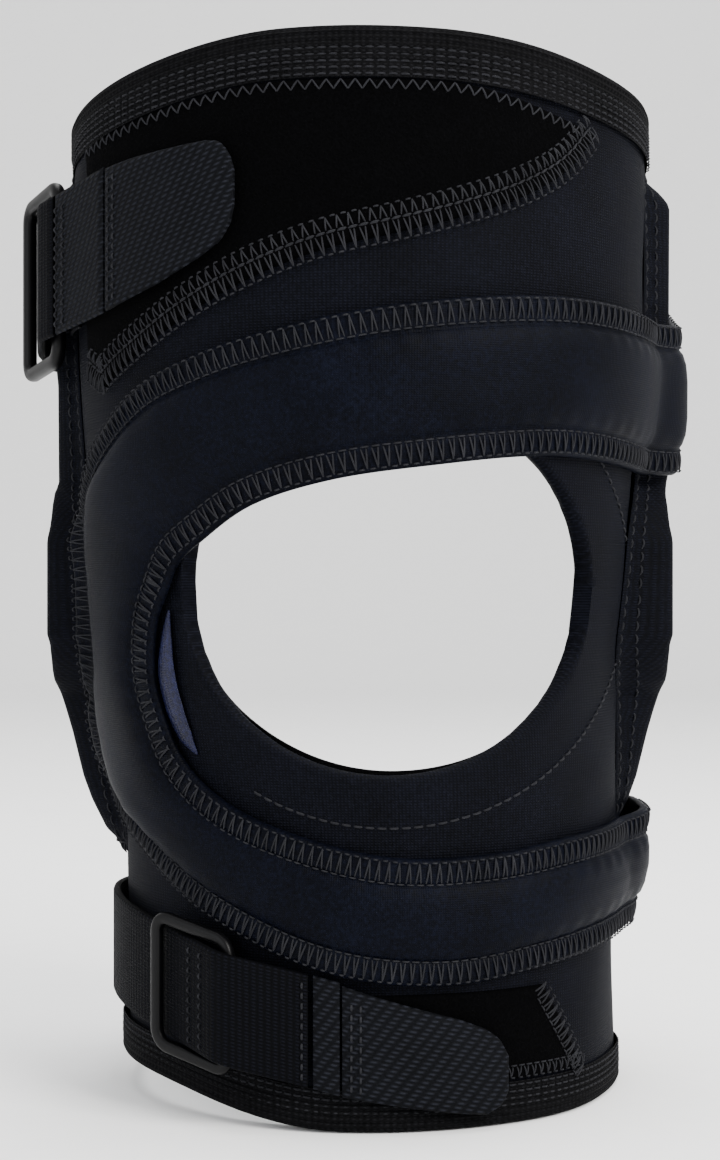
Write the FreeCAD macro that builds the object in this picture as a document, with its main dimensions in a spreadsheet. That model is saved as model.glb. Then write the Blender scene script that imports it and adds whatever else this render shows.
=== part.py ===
import FreeCAD, Part
import math
import os
from types import SimpleNamespace

import Sketcher

# A hinged knee brace for the right knee, in millimetres.
# +Z is up the leg, the front of the knee faces -Y, and +X is the medial (inner) side.
# The origin is the middle of the calf opening, in the plane of the bottom rim.

SHEET = [
    # alias, value, meaning
    ("rim_front", 250.0, "height of the top rim at the front"),
    ("rim_back", 238.0, "height of the top rim at the back"),
    ("rim_reach", 74.0, "distance from the axis at which the two rim heights are taken"),
    ("knee", 124.0, "height of the middle of the knee"),
    ("wall", 5.0, "thickness of the neoprene sleeve"),
    ("calf_radius", 55.5, "inner radius of the calf cuff"),
    ("knee_radius", 62.5, "inner radius of the sleeve at the knee"),
    ("thigh_radius", 67.0, "inner radius of the thigh cuff"),
    ("calf_cuff_top", 64.0, "height where the straight calf cuff ends"),
    ("thigh_cuff_bottom", 190.0, "height where the straight thigh cuff starts"),
    ("hem", 8.0, "height of the hems"),
    ("hem_lip", 1.2, "how far a hem stands out of the sleeve"),
    ("split_gap", 0.3, "gap between the two sleeve halves"),
    ("notch_y", 11.0, "front end of the notch behind the knee"),
    ("window_x", 6.0, "sideways place of the kneecap window"),
    ("window_radius", 43.0, "radius of the kneecap window"),
    ("window_pad_radius", 56.0, "outer radius of the pad ring round the window"),
    ("window_pad", 3.15, "thickness of that pad ring"),
    ("pivot_y", 10.0, "distance of the hinge pivots behind the middle"),
    ("pivot_gap", 14.0, "distance between the two pivots of a hinge"),
    ("plate_radius", 17.0, "end radius of the hinge plates"),
    ("cover_radius", 20.0, "end radius of the hinge covers"),
    ("cover_wall", 2.0, "thickness of the hinge cover and pocket walls"),
    ("pad_face", 69.9, "distance from the middle to the hinge pad"),
    ("pad_thick", 1.1, "thickness of the hinge pad"),
    ("plate_face", 71.95, "distance from the middle to the inner hinge plate"),
    ("plate", 1.1, "thickness of a hinge plate"),
    ("slide", 0.15, "play between an arm and a plate"),
    ("arm", 2.5, "thickness of an arm"),
    ("arm_width", 14.0, "width of an arm"),
    ("arm_top", 222.0, "height of the upper end of the upper arm"),
    ("arm_bend", 98.0, "height at which the lower arm bends inward"),
    ("arm_tail", 30.0, "length of the lower arm beyond its bend"),
    ("bend_angle", 17.0, "angle of that bend, in degrees"),
    ("rivet_radius", 3.0, "radius of a hinge rivet"),
    ("rivet_head", 5.0, "radius of a rivet's head"),
    ("head", 0.8, "height of a rivet's head"),
    ("arm_fit", 0.05, "radial play of an arm on its rivet"),
    ("plate_fit", 0.02, "radial play of a plate on a rivet"),
    ("gear_root", 5.8, "root radius of the hinge gears"),
    ("gear_tip", 7.7, "tip radius of the hinge gears"),
    ("gear_teeth", 14.0, "teeth round a whole gear"),
    ("stop_radius", 1.5, "radius of a stop pin"),
    ("cap", 0.75, "wall of the rubber arm caps"),
    ("pocket_half", 10.5, "half the width of an arm pocket"),
    ("pocket_face", 80.0, "distance from the middle to the outside of a pocket"),
    ("pocket_top", 228.0, "upper end of the upper pocket"),
    ("pocket_bottom", 62.0, "lower end of the lower pocket"),
    ("pad_band", 4.2, "thickness of the C-shaped kneecap pad"),
    ("thigh_strap_width", 34.0, "width of the thigh strap"),
    ("calf_strap_width", 25.0, "width of the calf strap"),
    ("strap", 2.0, "thickness of a strap"),
    ("loop", 1.0, "thickness of a loop panel"),
    ("tab", 1.8, "thickness of a hook tab"),
    ("hook", 0.6, "thickness of a hook patch"),
    ("thigh_ring_bar", 1.9, "bar radius of the thigh ring"),
    ("calf_ring_bar", 1.5, "bar radius of the calf ring"),
    ("thigh_window", 39.0, "height of the thigh ring's opening"),
    ("calf_window", 27.0, "height of the calf ring's opening"),
    ("keeper", 1.0, "thickness of a webbing keeper"),
]

HALF_TURN = 180.0
FULL_TURN = 360.0
REACH = 110.0          # longer than anything from the middle of the brace
TALL = 260.0           # taller than the brace
LYING = 0.1            # gap under a layer that lies on another
SPARE = 4.0            # how far a shell runs past the cut that trims it
NOTCH_RUN = 30.0       # how far the notch's slanted edge is drawn past its corner
POCKET_PLAY = 0.5      # gap between an arm pocket's floor and the hinge cover's
SIDES = {"lateral": -1, "medial": 1}

doc = FreeCAD.newDocument("knee_brace")
sheet = doc.addObject("Spreadsheet::Sheet", "Sizes")
nodes = {}


# ---------------------------------------------------------------- sizes that stay bound to the sheet

class Size:
    """A number that remembers the sheet expression it comes from."""

    def __init__(self, value, text):
        self.value = value
        self.text = text

    def __add__(self, other):
        return Size(self.value + number(other), "(%s + %s)" % (self.text, text(other)))

    def __radd__(self, other):
        return self + other

    def __sub__(self, other):
        return Size(self.value - number(other), "(%s - %s)" % (self.text, text(other)))

    def __rsub__(self, other):
        return -self + other

    def __mul__(self, factor):
        return Size(self.value * number(factor), "(%s * %s)" % (self.text, text(factor)))

    def __rmul__(self, factor):
        return self * factor

    def __truediv__(self, factor):
        return Size(self.value / number(factor), "(%s / %s)" % (self.text, text(factor)))

    def __neg__(self):
        return self * -1


def number(size):
    return size.value if isinstance(size, Size) else float(size)


def text(size):
    return size.text if isinstance(size, Size) else "%.6f" % size


def fill_sheet():
    for row, (alias, value, meaning) in enumerate(SHEET, start=1):
        sheet.set("A%d" % row, meaning)
        sheet.set("B%d" % row, str(value))
        sheet.setAlias("B%d" % row, alias)
    doc.recompute()
    return SimpleNamespace(**{alias: Size(value, "Sizes." + alias) for alias, value, meaning in SHEET})


size = fill_sheet()


def set_size(target, prop, length):
    """Give a property a length, bound to the sheet when the length comes from it."""
    if isinstance(length, Size):
        target.setExpression(prop, length.text)
    else:
        setattr(target, prop, length)


# ---------------------------------------------------------------- sketches

def make_body(name):
    body = doc.addObject("PartDesign::Body", name)
    body.Label = name
    return body


def add_sketch(body, role, offset=(0.0, 0.0, 0.0)):
    """A sketch on one of the body's own planes, moved by offset along the sketch's own axes."""
    plane = next(item for item in body.Origin.OriginFeatures if item.Role == role)
    sketch = body.newObject("Sketcher::SketchObject", body.Name + "_sketch")
    sketch.AttachmentSupport = [(plane, "")]
    sketch.MapMode = "FlatFace"
    for axis, length in zip("xyz", offset):
        if isinstance(length, Size):
            sketch.setExpression("AttachmentOffset.Base." + axis, length.text)
    base = FreeCAD.Vector(*[number(length) for length in offset])
    sketch.AttachmentOffset = FreeCAD.Placement(base, FreeCAD.Rotation())
    return sketch


def flat(point):
    return FreeCAD.Vector(number(point[0]), number(point[1]), 0.0)


def pin(sketch, geometry, end, point):
    """Hold one end of a line, or a circle's centre, at its distances from the sketch's origin."""
    for kind, axis, length in (("DistanceX", -2, point[0]), ("DistanceY", -1, point[1])):
        if abs(number(length)) < 1e-9:
            sketch.addConstraint(Sketcher.Constraint("PointOnObject", geometry, end, axis))
            continue
        index = sketch.addConstraint(
            Sketcher.Constraint(kind, -1, 1, geometry, end, number(length)))
        if isinstance(length, Size):
            sketch.setExpression("Constraints[%d]" % index, length.text)


def polygon(sketch, corners):
    first = sketch.GeometryCount
    count = len(corners)
    for index in range(count):
        start = flat(corners[index])
        sketch.addGeometry(Part.LineSegment(start, flat(corners[(index + 1) % count])))
    for index in range(count):
        following = first + (index + 1) % count
        sketch.addConstraint(Sketcher.Constraint("Coincident", first + index, 2, following, 1))
    for index, corner in enumerate(corners):
        pin(sketch, first + index, 1, corner)


def circle(sketch, centre, radius):
    shape = Part.Circle(flat(centre), FreeCAD.Vector(0, 0, 1), number(radius))
    geometry = sketch.addGeometry(shape)
    pin(sketch, geometry, 3, centre)
    index = sketch.addConstraint(Sketcher.Constraint("Radius", geometry, number(radius)))
    if isinstance(radius, Size):
        sketch.setExpression("Constraints[%d]" % index, radius.text)


def add_edges(sketch, edges):
    for edge in edges:
        sketch.addGeometry(edge)


# ---------------------------------------------------------------- features

def pad(body, sketch, length):
    feature = body.newObject("PartDesign::Pad", body.Name + "_pad")
    feature.Profile = sketch
    set_size(feature, "Length", length)
    return feature


def pocket(body, sketch, length):
    """Cut along the sketch's normal, and make sure that something was cut."""
    doc.recompute()
    before = body.Shape.Volume
    feature = body.newObject("PartDesign::Pocket", body.Name + "_pocket")
    feature.Profile = sketch
    feature.Reversed = True
    set_size(feature, "Length", length)
    doc.recompute()
    if not body.Shape.Volume < before - 1e-6:
        raise RuntimeError("pocket cuts nothing in " + body.Name)
    return feature


def turn_round(body, sketch, kind="PartDesign::Revolution"):
    """A full turn of the sketch about the brace's own axis."""
    feature = body.newObject(kind, body.Name + "_turn")
    feature.Profile = sketch
    feature.ReferenceAxis = (sketch, ["V_Axis"])
    feature.Angle = FULL_TURN
    return feature


def boolean(kind, name, base, tool):
    feature = doc.addObject("Part::" + kind, name)
    feature.Label = name
    feature.Base = base
    feature.Tool = tool
    return feature


def fuse(name, shapes):
    feature = doc.addObject("Part::MultiFuse", name)
    feature.Label = name
    feature.Shapes = shapes
    return feature


def keep(name, feature):
    feature.Label = name
    nodes[name] = feature
    return feature


# ---------------------------------------------------------------- sleeve, hems, window

RIM_SLOPE = (size.rim_front.value - size.rim_back.value) / (2 * size.rim_reach.value)


def rim_height(distance_back, drop=0.0):
    """Height of the slanted top rim at a distance behind the middle, less a drop."""
    middle = (size.rim_front + size.rim_back) / 2
    return middle - RIM_SLOPE * distance_back - drop


def wall_profile(lift_in, lift_out, low, high):
    """Section of a layer of the sleeve wall between two heights, lifted off the sleeve's inner face."""
    stations = [
        (size.calf_radius, 0.0),
        (size.calf_radius, size.calf_cuff_top),
        (size.knee_radius, size.knee),
        (size.thigh_radius, size.thigh_cuff_bottom),
        (size.thigh_radius, TALL),
    ]
    inside = [(inner_radius(low), low)]
    inside += [station for station in stations if number(low) < number(station[1]) < number(high)]
    inside += [(inner_radius(high), high)]
    inner = [(radius + lift_in, height) for radius, height in inside]
    outer = [(radius + lift_out, height) for radius, height in reversed(inside)]
    return inner + outer


def inner_radius(height):
    """Inner radius of the sleeve at a height."""
    z = number(height)
    if z <= size.calf_cuff_top.value:
        return size.calf_radius
    if z <= size.knee.value:
        share = (z - size.calf_cuff_top.value) / (size.knee.value - size.calf_cuff_top.value)
        return size.calf_radius + (size.knee_radius - size.calf_radius) * share
    if z <= size.thigh_cuff_bottom.value:
        share = (z - size.knee.value) / (size.thigh_cuff_bottom.value - size.knee.value)
        return size.knee_radius + (size.thigh_radius - size.knee_radius) * share
    return size.thigh_radius


def layer(name, lift_in, lift_out, low, high):
    """A round shell that follows the sleeve wall."""
    body = make_body(name)
    sketch = add_sketch(body, "XZ_Plane")
    polygon(sketch, wall_profile(lift_in, lift_out, low, high))
    turn_round(body, sketch)
    return body


def side_cut(body, corners):
    """Cut right through along X, with corners given as (y, z)."""
    sketch = add_sketch(body, "YZ_Plane", (0.0, 0.0, -REACH))
    polygon(sketch, corners)
    pocket(body, sketch, 2 * REACH)


def cut_above_rim(body, drop=0.0):
    side_cut(body, [(-REACH, rim_height(-REACH, drop)), (REACH, rim_height(REACH, drop)),
                    (REACH, TALL + REACH), (-REACH, TALL + REACH)])


def cut_notch(body, up):
    """The 45 degree cut-away behind the knee: below the slant on the thigh, above it on the calf."""
    corner = size.knee + up * (size.split_gap / 2)
    beyond = corner - up * NOTCH_RUN
    far_back = size.notch_y + REACH
    side_cut(body, [(size.notch_y - NOTCH_RUN, beyond), (size.notch_y, corner),
                    (far_back, corner + up * REACH), (far_back, beyond)])


def cut_window(body):
    sketch = add_sketch(body, "XZ_Plane")
    circle(sketch, (size.window_x, size.knee), size.window_radius)
    pocket(body, sketch, REACH)


def make_sleeves():
    half_gap = size.split_gap / 2
    thigh = layer("thigh_sleeve", 0.0, size.wall, size.knee + half_gap, size.rim_front + SPARE)
    cut_above_rim(thigh, size.hem)
    cut_notch(thigh, 1)
    cut_window(thigh)
    keep("thigh_sleeve", thigh)
    calf = layer("calf_sleeve", 0.0, size.wall, size.hem, size.knee - half_gap)
    cut_notch(calf, -1)
    cut_window(calf)
    keep("calf_sleeve", calf)


def make_hems():
    thigh = layer("thigh_hem", 0.0, size.wall + size.hem_lip, size.rim_back - 20.0, size.rim_front + SPARE)
    cut_above_rim(thigh)
    side_cut(thigh, [(-REACH, rim_height(-REACH, size.hem)), (-REACH, 0.0),
                     (REACH, 0.0), (REACH, rim_height(REACH, size.hem))])
    keep("thigh_hem", thigh)
    keep("calf_hem", layer("calf_hem", 0.0, size.wall + size.hem_lip, 0.0, size.hem))


def window_ring(name, outer_radius, hole_radius):
    """A round tube in front of the leg, centred on the kneecap window."""
    body = make_body(name)
    sketch = add_sketch(body, "XZ_Plane")
    circle(sketch, (size.window_x, size.knee), outer_radius)
    circle(sketch, (size.window_x, size.knee), hole_radius)
    pad(body, sketch, REACH)
    return body


def make_window_pads():
    """The pad ring lies inside the sleeve, round the window, in two halves."""
    half_gap = size.split_gap / 2
    lift = -0.05
    low = size.knee - size.window_pad_radius - SPARE
    high = size.knee + size.window_pad_radius + SPARE
    for name, bottom, top in (("window_pad_upper", size.knee + half_gap, high),
                              ("window_pad_lower", low, size.knee - half_gap)):
        shell = layer(name + "_shell", -size.window_pad + lift, lift, bottom, top)
        ring = window_ring(name + "_ring", size.window_pad_radius, size.window_radius)
        keep(name, boolean("Common", name, shell, ring))


def make_piping():
    """Satin piping beside the window: a crescent between two arcs seen from the front."""
    piping = 2.5
    shell = layer("piping_shell", size.wall + LYING, size.wall + LYING + piping, 60.0, size.knee - 1.0)
    front = make_body("piping_front")
    sketch = add_sketch(front, "XZ_Plane")
    top = flat((-44.5, 120.0))
    bottom = flat((-42.0, 86.0))
    outer = Part.Arc(top, flat((-48.2, 104.0)), bottom)
    inner = Part.Arc(bottom, flat((-42.6, 103.0)), top)
    add_edges(sketch, [outer, inner])
    pad(front, sketch, REACH)
    keep("buttress_piping", boolean("Common", "buttress_piping", shell, front))


# ---------------------------------------------------------------- hinges and arms

PIVOT_HIGH = size.knee + size.pivot_gap / 2
PIVOT_LOW = size.knee - size.pivot_gap / 2
ARM_FACE = size.plate_face + size.plate + size.slide
ARM_BACK = ARM_FACE + size.arm
OUTER_PLATE = ARM_BACK + size.slide
OUTER_END = OUTER_PLATE + size.plate
STOP_AHEAD = size.arm_width / 2 + size.stop_radius + 0.1
STOP_ALONG = 12.0
STOP_BACK = 13.15
STOP_BACK_RISE = 1.0


def start_x(side, near, far):
    """Where a pad along +X starts so that it fills near to far on the given side."""
    return near if side > 0 else -far


def side_sketch(body, side, near, far):
    return add_sketch(body, "YZ_Plane", (0.0, 0.0, start_x(side, near, far)))


def stadium(sketch, radius, holes=()):
    """A long round-ended outline about the two pivots, with holes given as (y, z, radius)."""
    high = FreeCAD.Vector(size.pivot_y.value, number(PIVOT_HIGH), 0)
    low = FreeCAD.Vector(size.pivot_y.value, number(PIVOT_LOW), 0)
    up = FreeCAD.Vector(0, 0, 1)
    length = number(radius)
    front = FreeCAD.Vector(-length, 0, 0)
    back = FreeCAD.Vector(length, 0, 0)
    add_edges(sketch, [
        Part.ArcOfCircle(Part.Circle(high, up, length), 0.0, math.pi),
        Part.LineSegment(high + front, low + front),
        Part.ArcOfCircle(Part.Circle(low, up, length), math.pi, 2 * math.pi),
        Part.LineSegment(low + back, high + back),
    ])
    pin(sketch, 0, 3, (size.pivot_y, PIVOT_HIGH))
    pin(sketch, 2, 3, (size.pivot_y, PIVOT_LOW))
    for arc in (0, 2):
        index = sketch.addConstraint(Sketcher.Constraint("Radius", arc, length))
        if isinstance(radius, Size):
            sketch.setExpression("Constraints[%d]" % index, radius.text)
    for arc, start, line in ((0, 2, 1), (2, 1, 1), (2, 2, 3), (0, 1, 3)):
        end = 1 if (arc, line) in ((0, 1), (2, 3)) else 2
        sketch.addConstraint(Sketcher.Constraint("Tangent", arc, start, line, end))
    for y, z, hole in holes:
        circle(sketch, (y, z), hole)


def make_plates(side_name, side):
    bore = size.rivet_radius + size.plate_fit
    pivots = [(size.pivot_y, PIVOT_HIGH, bore), (size.pivot_y, PIVOT_LOW, bore)]
    for name, near in (("inner_plate", size.plate_face), ("outer_plate", OUTER_PLATE)):
        body = make_body(side_name + "_" + name)
        sketch = side_sketch(body, side, near, near + size.plate)
        stadium(sketch, size.plate_radius, pivots)
        pad(body, sketch, size.plate)
        keep(body.Name, body)


def make_rivets(side_name, side):
    for name, height in (("upper_rivet", PIVOT_HIGH), ("lower_rivet", PIVOT_LOW)):
        body = make_body(side_name + "_" + name)
        for near, far, radius in ((size.plate_face - size.head, size.plate_face, size.rivet_head),
                                  (size.plate_face, OUTER_END, size.rivet_radius),
                                  (OUTER_END, OUTER_END + size.head, size.rivet_head)):
            sketch = side_sketch(body, side, near, far)
            circle(sketch, (size.pivot_y, height), radius)
            pad(body, sketch, far - near)
        keep(body.Name, body)


def make_stops(side_name, side):
    """Two pins between the plates that the arms meet when the leg is straight, and two when it is bent."""
    ahead = size.pivot_y - STOP_AHEAD
    behind = size.pivot_y + STOP_BACK
    near = size.plate_face + size.plate
    pairs = {
        "extension_stops": (ahead, STOP_ALONG),
        "flexion_stops": (behind, STOP_BACK_RISE),
    }
    for name, (y, rise) in pairs.items():
        pins = []
        for pivot, direction in ((PIVOT_HIGH, 1), (PIVOT_LOW, -1)):
            body = make_body("%s_%s_%s" % (side_name, name, "high" if direction > 0 else "low"))
            sketch = side_sketch(body, side, near, OUTER_PLATE)
            circle(sketch, (y, pivot + direction * rise), size.stop_radius)
            pad(body, sketch, OUTER_PLATE - near)
            pins.append(body)
        keep(side_name + "_" + name, fuse(side_name + "_" + name, pins))


def make_hinge_pad(side_name, side):
    body = make_body(side_name + "_hinge_pad")
    sketch = side_sketch(body, side, size.pad_face, size.pad_face + size.pad_thick)
    stadium(sketch, size.cover_radius)
    pad(body, sketch, size.pad_thick)
    keep(body.Name, body)


def make_hinge_cover(side_name, side):
    """A shallow round-ended lid over the hinge, whose skirt stops short of the arms."""
    rim = ARM_BACK + POCKET_PLAY
    ceiling = size.pocket_face - size.cover_wall
    body = make_body(side_name + "_hinge_cover")
    sketch = side_sketch(body, side, rim, size.pocket_face)
    stadium(sketch, size.cover_radius)
    pad(body, sketch, size.pocket_face - rim)
    inside = side_sketch(body, side, rim, ceiling)
    stadium(inside, size.cover_radius - size.cover_wall)
    pocket(body, inside, ceiling - rim)
    keep(body.Name, body)


def gear_tooth(sketch, angle):
    """One tooth with straight flanks, about the sketch's origin."""
    half_root = 1.2
    half_tip = 0.4
    along = FreeCAD.Vector(math.cos(angle), math.sin(angle), 0)
    across = FreeCAD.Vector(-math.sin(angle), math.cos(angle), 0)
    root = number(size.gear_root) - 0.6
    tip = number(size.gear_tip)
    points = [along * root - across * half_root, along * tip - across * half_tip,
              along * tip + across * half_tip, along * root + across * half_root]
    count = len(points)
    add_edges(sketch, [Part.LineSegment(points[i], points[(i + 1) % count]) for i in range(count)])


def add_gear(body, side, height, tooth_angle):
    """A gear about a pivot, joined to the arm that the body already holds."""
    near = start_x(side, ARM_FACE, ARM_BACK)
    place = (size.pivot_y, height, near)
    disc = add_sketch(body, "YZ_Plane", place)
    circle(disc, (0.0, 0.0), size.gear_root)
    pad(body, disc, size.arm)
    tooth = add_sketch(body, "YZ_Plane", place)
    gear_tooth(tooth, tooth_angle)
    single = pad(body, tooth, size.arm)
    ring = body.newObject("PartDesign::PolarPattern", body.Name + "_teeth")
    ring.Originals = [single]
    ring.Axis = (tooth, ["N_Axis"])
    ring.Angle = FULL_TURN
    ring.Occurrences = int(size.gear_teeth.value)
    body.Tip = ring
    bore = add_sketch(body, "YZ_Plane", place)
    circle(bore, (0.0, 0.0), size.rivet_radius + size.arm_fit)
    pocket(body, bore, size.arm)


def make_upper_arm(side_name, side):
    body = make_body(side_name + "_upper_arm")
    sketch = side_sketch(body, side, ARM_FACE, ARM_BACK)
    half = size.arm_width / 2
    polygon(sketch, [(size.pivot_y - half, PIVOT_HIGH), (size.pivot_y + half, PIVOT_HIGH),
                     (size.pivot_y + half, size.arm_top), (size.pivot_y - half, size.arm_top)])
    pad(body, sketch, size.arm)
    add_gear(body, side, PIVOT_HIGH, -math.pi / 2)
    keep(body.Name, body)


def bent_strip(near, far, top, tail):
    """Front view of a strip between two distances from the middle that bends inward at arm_bend."""
    angle = math.radians(size.bend_angle.value)
    thick = far - near
    drop = number(tail) * math.cos(angle)
    shift = number(tail) * math.sin(angle)
    inner_bend = size.arm_bend + number(thick) * math.tan(angle / 2)
    outer_end = (far - shift, size.arm_bend - drop)
    inner_end = (far - shift - number(thick) * math.cos(angle),
                 size.arm_bend - drop + number(thick) * math.sin(angle))
    return [(near, top), (far, top), (far, size.arm_bend), outer_end, inner_end, (near, inner_bend)]


def across_leg(body, side, points, low_y, high_y):
    """A pad along Y of an outline given as (distance from the middle, height)."""
    sketch = add_sketch(body, "XZ_Plane", (0.0, 0.0, -high_y))
    polygon(sketch, [(side * x, z) for x, z in points])
    return sketch, high_y - low_y


def make_lower_arm(side_name, side):
    body = make_body(side_name + "_lower_arm")
    half = size.arm_width / 2
    outline = bent_strip(ARM_FACE, ARM_BACK, PIVOT_LOW, size.arm_tail)
    sketch, depth = across_leg(body, side, outline, size.pivot_y - half, size.pivot_y + half)
    pad(body, sketch, depth)
    add_gear(body, side, PIVOT_LOW, math.pi / 2 + math.pi / size.gear_teeth.value)
    keep(body.Name, body)


def make_cap(name, centre, turn):
    """A rubber cap over the end of an arm, made about the arm's end and then put in place."""
    grip = 5.5
    tip = 1.5
    play = 0.05
    solids = []
    for label, wall, low, high in (("outside", size.cap + play, -grip, tip), ("inside", play, -2 * grip, play)):
        box = doc.addObject("Part::Box", name + "_" + label)
        across = size.arm + 2 * wall
        wide = size.arm_width + 2 * wall
        set_size(box, "Length", across)
        set_size(box, "Width", wide)
        box.Height = high - low
        box.Placement.Base = FreeCAD.Vector(-number(across) / 2, -number(wide) / 2, low)
        solids.append(box)
    cap = boolean("Cut", name, solids[0], solids[1])
    doc.recompute()
    rotation = FreeCAD.Rotation(FreeCAD.Vector(0, 1, 0), turn)
    cap.Placement = FreeCAD.Placement(FreeCAD.Vector(*[number(part) for part in centre]), rotation)
    keep(name, cap)


def make_caps(side_name, side):
    middle = ARM_FACE + size.arm / 2
    make_cap(side_name + "_upper_cap", (side * middle, size.pivot_y, size.arm_top), 0.0)
    end = bent_strip(ARM_FACE, ARM_BACK, PIVOT_LOW, size.arm_tail)[3:5]
    x = (end[0][0] + end[1][0]) / 2
    z = (end[0][1] + end[1][1]) / 2
    make_cap(side_name + "_lower_cap", (side * x, size.pivot_y, z),
             -side * (HALF_TURN - size.bend_angle.value))


def clear_sleeve(body):
    """Hollow the body out so that it lies on the sleeve."""
    play = 0.15
    bottom = -1.0
    sketch = add_sketch(body, "XZ_Plane")
    profile = wall_profile(0.0, size.wall + play, bottom, TALL)
    outside = profile[len(profile) // 2:][::-1]
    polygon(sketch, [(0.0, bottom)] + outside + [(0.0, TALL)])
    turn_round(body, sketch, "PartDesign::Groove")


def round_pivot(body, height):
    """Cut the round end that faces the hinge cover."""
    play = 0.4
    sketch = add_sketch(body, "YZ_Plane", (size.pivot_y, height, -REACH))
    circle(sketch, (0.0, 0.0), size.cover_radius + play)
    pocket(body, sketch, 2 * REACH)


def make_upper_pocket(side_name, side):
    inner = 60.0
    floor = size.pocket_face - size.cover_wall - POCKET_PLAY
    half = size.pocket_half
    hollow = half - size.cover_wall
    body = make_body(side_name + "_upper_pocket")
    sketch = side_sketch(body, side, inner, size.pocket_face)
    polygon(sketch, [(size.pivot_y - half, PIVOT_HIGH), (size.pivot_y + half, PIVOT_HIGH),
                     (size.pivot_y + half, size.pocket_top), (size.pivot_y - half, size.pocket_top)])
    pad(body, sketch, size.pocket_face - inner)
    inside = side_sketch(body, side, inner, floor)
    ceiling = size.pocket_top - size.cover_wall
    polygon(inside, [(size.pivot_y - hollow, PIVOT_HIGH - 1.0), (size.pivot_y + hollow, PIVOT_HIGH - 1.0),
                     (size.pivot_y + hollow, ceiling), (size.pivot_y - hollow, ceiling)])
    pocket(body, inside, floor - inner)
    clear_sleeve(body)
    round_pivot(body, PIVOT_HIGH)
    keep(body.Name, body)


def pocket_strip(near, far, low):
    """Front view of the lower pocket or its hollow, sloping inward with the arm."""
    slope = math.tan(math.radians(size.bend_angle.value))
    return [(near, PIVOT_LOW), (far, PIVOT_LOW), (far, size.arm_bend),
            (far - (size.arm_bend.value - number(low)) * slope, low), (near, low)]


def make_lower_pocket(side_name, side):
    inner = 50.0
    floor = size.pocket_face - size.cover_wall - POCKET_PLAY
    half = size.pocket_half
    hollow = half - size.cover_wall
    body = make_body(side_name + "_lower_pocket")
    sketch, depth = across_leg(body, side, pocket_strip(inner, size.pocket_face, size.pocket_bottom),
                               size.pivot_y - half, size.pivot_y + half)
    pad(body, sketch, depth)
    low = size.pocket_bottom + size.cover_wall + POCKET_PLAY
    outline = pocket_strip(inner - 1.0, floor, low)
    outline = [(x, z + 1.0) if z is PIVOT_LOW else (x, z) for x, z in outline]
    inside, depth = across_leg(body, side, outline, size.pivot_y - hollow, size.pivot_y + hollow)
    pocket(body, inside, depth)
    clear_sleeve(body)
    round_pivot(body, PIVOT_LOW)
    keep(body.Name, body)


def make_hinges():
    for side_name, side in SIDES.items():
        make_plates(side_name, side)
        make_rivets(side_name, side)
        make_stops(side_name, side)
        make_hinge_pad(side_name, side)
        make_hinge_cover(side_name, side)
        make_upper_arm(side_name, side)
        make_lower_arm(side_name, side)
        make_caps(side_name, side)
        make_upper_pocket(side_name, side)
        make_lower_pocket(side_name, side)


# ---------------------------------------------------------------- straps, rings, tabs, kneecap pad

def polar(radius, angle):
    turn = math.radians(angle)
    return (number(radius) * math.cos(turn), number(radius) * math.sin(turn))


def belt(supports, start, end):
    """Arcs of a strap pulled counter-clockwise round (centre, radius) supports, angles in degrees."""
    arcs = []
    angle = start
    for (centre, radius), (next_centre, next_radius) in zip(supports, supports[1:]):
        across = next_centre[0] - centre[0]
        along = next_centre[1] - centre[1]
        distance = math.hypot(across, along)
        leave = math.degrees(math.atan2(along, across) - math.acos((radius - next_radius) / distance))
        while leave < angle:
            leave += FULL_TURN
        arcs.append((centre, radius, angle, leave))
        angle = leave
    arcs.append((supports[-1][0], supports[-1][1], angle, end))
    return arcs


def arc_edge(centre, radius, low, high):
    shape = Part.Circle(flat(centre), FreeCAD.Vector(0, 0, 1), radius)
    return Part.ArcOfCircle(shape, math.radians(low), math.radians(high))


def ribbon(name, arcs, thickness, low, high):
    """A band of even thickness that stands on edge along the arcs, from one height to another."""
    body = make_body(name)
    sketch = add_sketch(body, "XY_Plane", (0.0, 0.0, low))
    half = number(thickness) / 2
    ends = []
    for lift in (-half, half):
        edges = [arc_edge(centre, radius + lift, first, last) for centre, radius, first, last in arcs]
        add_edges(sketch, edges)
        for edge, following in zip(edges, edges[1:]):
            sketch.addGeometry(Part.LineSegment(edge.EndPoint, following.StartPoint))
        ends.append((edges[0].StartPoint, edges[-1].EndPoint))
    for inner, outer in zip(ends[0], ends[1]):
        sketch.addGeometry(Part.LineSegment(inner, outer))
    pad(body, sketch, high - low)
    return body


def slab(name, middle, rise_x, rise_y, width):
    """A wide flat box between two slanted planes, width apart."""
    box = doc.addObject("Part::Box", name)
    box.Length = 2 * REACH
    box.Width = 2 * REACH
    set_size(box, "Height", width)
    normal = FreeCAD.Vector(-rise_x, -rise_y, 1)
    turn = FreeCAD.Rotation(FreeCAD.Vector(0, 0, 1), normal)
    corner = turn.multVec(FreeCAD.Vector(REACH, REACH, number(width) / 2))
    box.Placement = FreeCAD.Placement(FreeCAD.Vector(0, 0, middle) - corner, turn)
    return box


def front_plate(name, corners):
    """A prism in front of the leg from an outline given as (x, z)."""
    body = make_body(name)
    sketch = add_sketch(body, "XZ_Plane")
    polygon(sketch, corners)
    pad(body, sketch, REACH)
    return body


def side_plate(name, corners, near, far):
    """A prism beside the leg from an outline given as (y, z)."""
    body = make_body(name)
    sketch = add_sketch(body, "YZ_Plane", (0.0, 0.0, near))
    polygon(sketch, corners)
    pad(body, sketch, far - near)
    return body


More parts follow.
